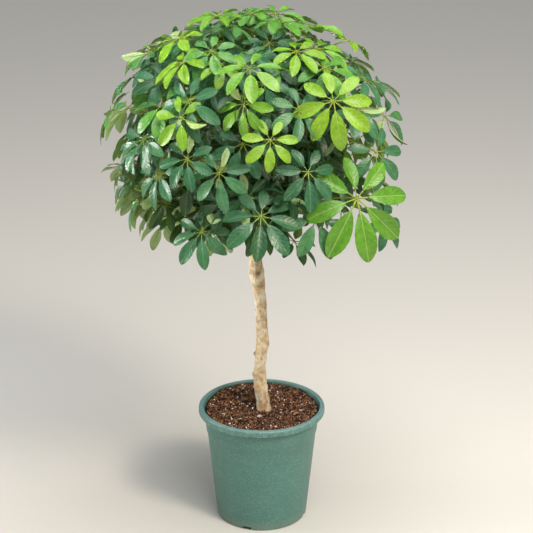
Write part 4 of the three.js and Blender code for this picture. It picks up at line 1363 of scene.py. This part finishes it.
damp_mix = mix_finish(
    "damp_peat", ((0.3, "#0f0805"), (0.6, "#24140c"), (0.85, "#4a2d1d"), (1, "#5f3d28")), rough=0.95)
bark_mix = mix_finish(
    "composted_bark", ((0.3, "#2a170d"), (0.55, "#5b3823"), (0.8, "#8a5c3f"), (1, "#b98761")), rough=0.9)
perlite = mix_finish("perlite", ((0.3, "#e6e0d4"), (0.6, "#fbf8f2"), (1, "#ffffff")), rough=0.8)
fibre = mix_finish("coir_fibre", ((0.3, "#6b4a2c"), (0.7, "#a17c50"), (1, "#c7a578")), rough=0.85)

mix_body = placed("potting_mix", turned(
    "potting_mix", soil_section(), SOIL.sides, POT.floor + CLEAR, SOIL_TOP - HOLE_DEPTH, lumpy))
mix_body.data.materials.append(damp_mix)
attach(mix_body, "root")
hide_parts("soil")
print("faces of the mix's body:", len(mix_body.data.polygons))


# %% The scattering tree
def scatter_tree():
    tree = bpy.data.node_groups.new("scatter", "GeometryNodeTree")
    for name, kind in (("Geometry", "Geometry"), ("Bit", "Object"), ("Density", "Float"), ("Seed", "Int"),
                       ("Smallest", "Vector"), ("Largest", "Vector"), ("Finish", "Material")):
        tree.interface.new_socket(name, in_out="INPUT", socket_type=f"NodeSocket{kind}")
    tree.interface.new_socket("Geometry", in_out="OUTPUT", socket_type="NodeSocketGeometry")
    given = add(tree, "NodeGroupInput").outputs
    points = add(tree, "GeometryNodeDistributePointsOnFaces", {
        "Mesh": given["Geometry"], "Density": given["Density"], "Seed": given["Seed"]})
    bit = add(tree, "GeometryNodeObjectInfo", {"Object": given["Bit"]})
    turn = add(tree, "FunctionNodeRandomValue", {"Max": (2 * math.pi,) * 3, "Seed": given["Seed"]},
               data_type="FLOAT_VECTOR")
    size = add(tree, "FunctionNodeRandomValue", {"Min": given["Smallest"], "Max": given["Largest"],
                                                 "Seed": given["Seed"]}, data_type="FLOAT_VECTOR")
    bits = add(tree, "GeometryNodeInstanceOnPoints", {
        "Points": points, "Instance": bit.outputs["Geometry"], "Rotation": turn, "Scale": size})
    tone = add(tree, "FunctionNodeRandomValue", {"Seed": given["Seed"]}, data_type="FLOAT")
    toned = add(tree, "GeometryNodeStoreNamedAttribute", {"Geometry": bits, "Name": "tone", "Value": tone},
                data_type="FLOAT", domain="INSTANCE")
    real = add(tree, "GeometryNodeRealizeInstances", {"Geometry": toned})
    painted = add(tree, "GeometryNodeSetMaterial", {"Geometry": real, "Material": given["Finish"]})
    add(tree, "NodeGroupOutput", {"Geometry": painted})
    return tree


def top_of_mix():
    """The open top of the mix, which the bits are scattered on."""
    radii = np.arange(SOIL.hole + 1, pot_radius(SOIL_TOP) - SOIL.gap - SOIL.margin, SOIL.ring_step)
    points, faces = skin([circle(r, SOIL_TOP, SOIL.sides) for r in radii])
    return mesh_of("top", np.array([lumpy(p) for p in points]), faces)


# %% Crumb and fibre
CRUMB = SimpleNamespace(
    sides=6,
    rows=((0.75, -0.6), (1.05, 0.05), (0.65, 0.65)),  # [radius, height]
    foot=(0.1, 0, -0.95),
    top=(-0.1, 0.1, 0.95),
    nearest=0.75,  # a corner stands between this share of its place
    spread=0.5,  # and this much more
)
FIBRE = SimpleNamespace(
    half=5,  # half its length
    steps=5,
    sides=4,
    radius=0.35,
    bend=1.6,  # it bends this far to each side of its line,
    pace=2.4,  # in waves of about six times this length
)


def make_crumb():
    """A crumb of radius 1 mm: a six-sided lump with uneven corners."""
    turns = 2 * math.pi * np.arange(CRUMB.sides) / CRUMB.sides
    rows = []
    for k, (r, z) in enumerate(CRUMB.rows):
        uneven = np.array([CRUMB.nearest + CRUMB.spread * draw(k, i) for i in range(CRUMB.sides)])
        rows.append(np.column_stack([r * uneven * np.cos(turns), r * uneven * np.sin(turns), z * uneven]))
    points, faces = skin([np.array([CRUMB.foot]), *rows, np.array([CRUMB.top])])
    mesh = mesh_of("crumb", points, faces)
    mesh.shade_flat()
    return placed("crumb", mesh)


def make_fibre():
    """A bent fibre, 10 mm long and 0.7 mm thick."""
    turns = 2 * math.pi * np.arange(FIBRE.sides) / FIBRE.sides
    rows = []
    for x in np.linspace(-FIBRE.half, FIBRE.half, FIBRE.steps):
        y = FIBRE.bend * math.cos(x / FIBRE.pace) + FIBRE.radius * np.cos(turns)
        rows.append(np.column_stack([np.full(FIBRE.sides, x), y, FIBRE.radius * np.sin(turns)]))
    points, faces = skin([rows[0].mean(0)[None], *rows, rows[-1].mean(0)[None]])
    return placed("fibre", mesh_of("fibre", points, faces))


# %% Scattering
# [name, shape, bits in a square metre, seed, smallest and largest size along, across and up, finish]
crumb_shape, fibre_shape = make_crumb(), make_fibre()
SCATTERED = [
    ("mix_crumbs", crumb_shape, 75000, 3, (0.7, 0.6, 0.5), (2.5, 2.1, 1.8), bark_mix),
    ("mix_clods", crumb_shape, 9000, 7, (1.8, 1.6, 1.2), (4.8, 3.8, 2.8), bark_mix),
    ("mix_fibres", fibre_shape, 5000, 8, (0.4, 0.5, 0.5), (1.4, 1.0, 1.0), fibre),
    ("perlite_beads", crumb_shape, 3800, 5, (0.6, 0.6, 0.6), (3.0, 2.6, 2.2), perlite),
]
scatter_nodes = scatter_tree()
for name, shape, density, seed, smallest, largest, finish in SCATTERED:
    bits = grown(name, top_of_mix(), scatter_nodes, {
        "Bit": shape, "Density": float(density), "Seed": seed, "Smallest": smallest, "Largest": largest,
        "Finish": finish})
    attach(bits, "root")
    print(name, "faces:", len(bits.data.polygons))

# %% The stone in front of the stem
PEBBLE = SimpleNamespace(
    place=(-5.0, -40.0, SOIL_TOP),
    stands_out=2.4,  # its middle over the mix
    size=(4.8, 3.6, 3.3),  # half its length, width and height
    tones=((0.3, "#cbb3a7"), (0.6, "#ead8ce"), (1, "#f8f0ea")),
)
pebble = placed("pebble", crumb_shape.data.copy())
seat = Vector(lumpy(np.array(PEBBLE.place)) + PEBBLE.stands_out * UP) * MM
pebble.data.transform(Matrix.Translation(seat) @ Matrix.Diagonal((*PEBBLE.size, 1)))
pebble.data.materials.append(mix_finish("quartz_pebble", PEBBLE.tones, rough=0.7))
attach(pebble, "root")
bpy.data.objects.remove(crumb_shape)
bpy.data.objects.remove(fibre_shape)
print("faces of the stone:", len(pebble.data.polygons))

# %% [markdown]
# ## Floor and light
# The plant stands on a plain pale floor in a studio. A large soft lamp stands high on the right in front,
# where the sun stood in the photograph. A wide one overhead gives the waxed leaves and the rim their sheen,
# as the sky did, and a third in front keeps the shaded leaves green. A small one low on the left brushes
# only the left leaves, and a very wide weak light from straight above stands for a white ceiling.

# %% Floor
FLOOR_HALF = 30.0  # metres, past the edge of every view
floor_mesh = bpy.data.meshes.new("floor")
corners = [(-FLOOR_HALF, -FLOOR_HALF, 0), (FLOOR_HALF, -FLOOR_HALF, 0),
           (FLOOR_HALF, FLOOR_HALF, 0), (-FLOOR_HALF, FLOOR_HALF, 0)]
floor_mesh.from_pydata(corners, [], [(0, 1, 2, 3)])
floor_paint = bpy.data.materials.new("pale_floor")
floor_paint.use_nodes = True
floor_shader = floor_paint.node_tree.nodes["Principled BSDF"]
floor_shader.inputs["Base Color"].default_value = linear("#dcd8d2")
floor_shader.inputs["Roughness"].default_value = 0.9
floor_mesh.materials.append(floor_paint)
floor = placed("floor", floor_mesh)
print("floor in metres:", 2 * FLOOR_HALF)

# %% Light
CROWN_MIDDLE = Vector(CROWN.middle) * MM  # each lamp is turned to it
# [name, place in metres, side in metres, spread in degrees, watts, colour]
LAMPS = [
    ("sun_side", (1.9, -2.1, 3.0), 0.8, 180, 84, "#fff2dd"),
    ("overhead", (0.3, -0.6, 3.3), 2.0, 180, 54, "#fbfbf6"),
    ("front_sky", (0.9, -2.6, 2.9), 1.8, 180, 36, "#f6f8fa"),
    ("left_rim", (-2.6, -0.1, 1.1), 0.8, 26, 3.4, "#f8faf2"),
]
for name, place, side, spread, watts, tone in LAMPS:
    lamp = bpy.data.lights.new(name, "AREA")
    lamp.size, lamp.spread, lamp.energy, lamp.color = side, math.radians(spread), watts, linear(tone)[:3]
    stand = bpy.data.objects.new(name, lamp)
    stand.location = place
    stand.rotation_euler = (CROWN_MIDDLE - Vector(place)).to_track_quat("-Z", "Y").to_euler()
    bpy.context.scene.collection.objects.link(stand)

# the ceiling keeps the far floor pale
ceiling = bpy.data.lights.new("ceiling", "SUN")
ceiling.angle, ceiling.energy, ceiling.color = math.radians(60), 1.1, linear("#f8fafb")[:3]
bpy.context.scene.collection.objects.link(bpy.data.objects.new("ceiling", ceiling))

world = bpy.data.worlds.new("studio")
world.use_nodes = True
world.node_tree.nodes["Background"].inputs["Color"].default_value = linear("#e9edf0")
world.node_tree.nodes["Background"].inputs["Strength"].default_value = 0.14
bpy.context.scene.world = world
bpy.context.scene.view_settings.view_transform = "Standard"
print("lamps:", len(LAMPS))
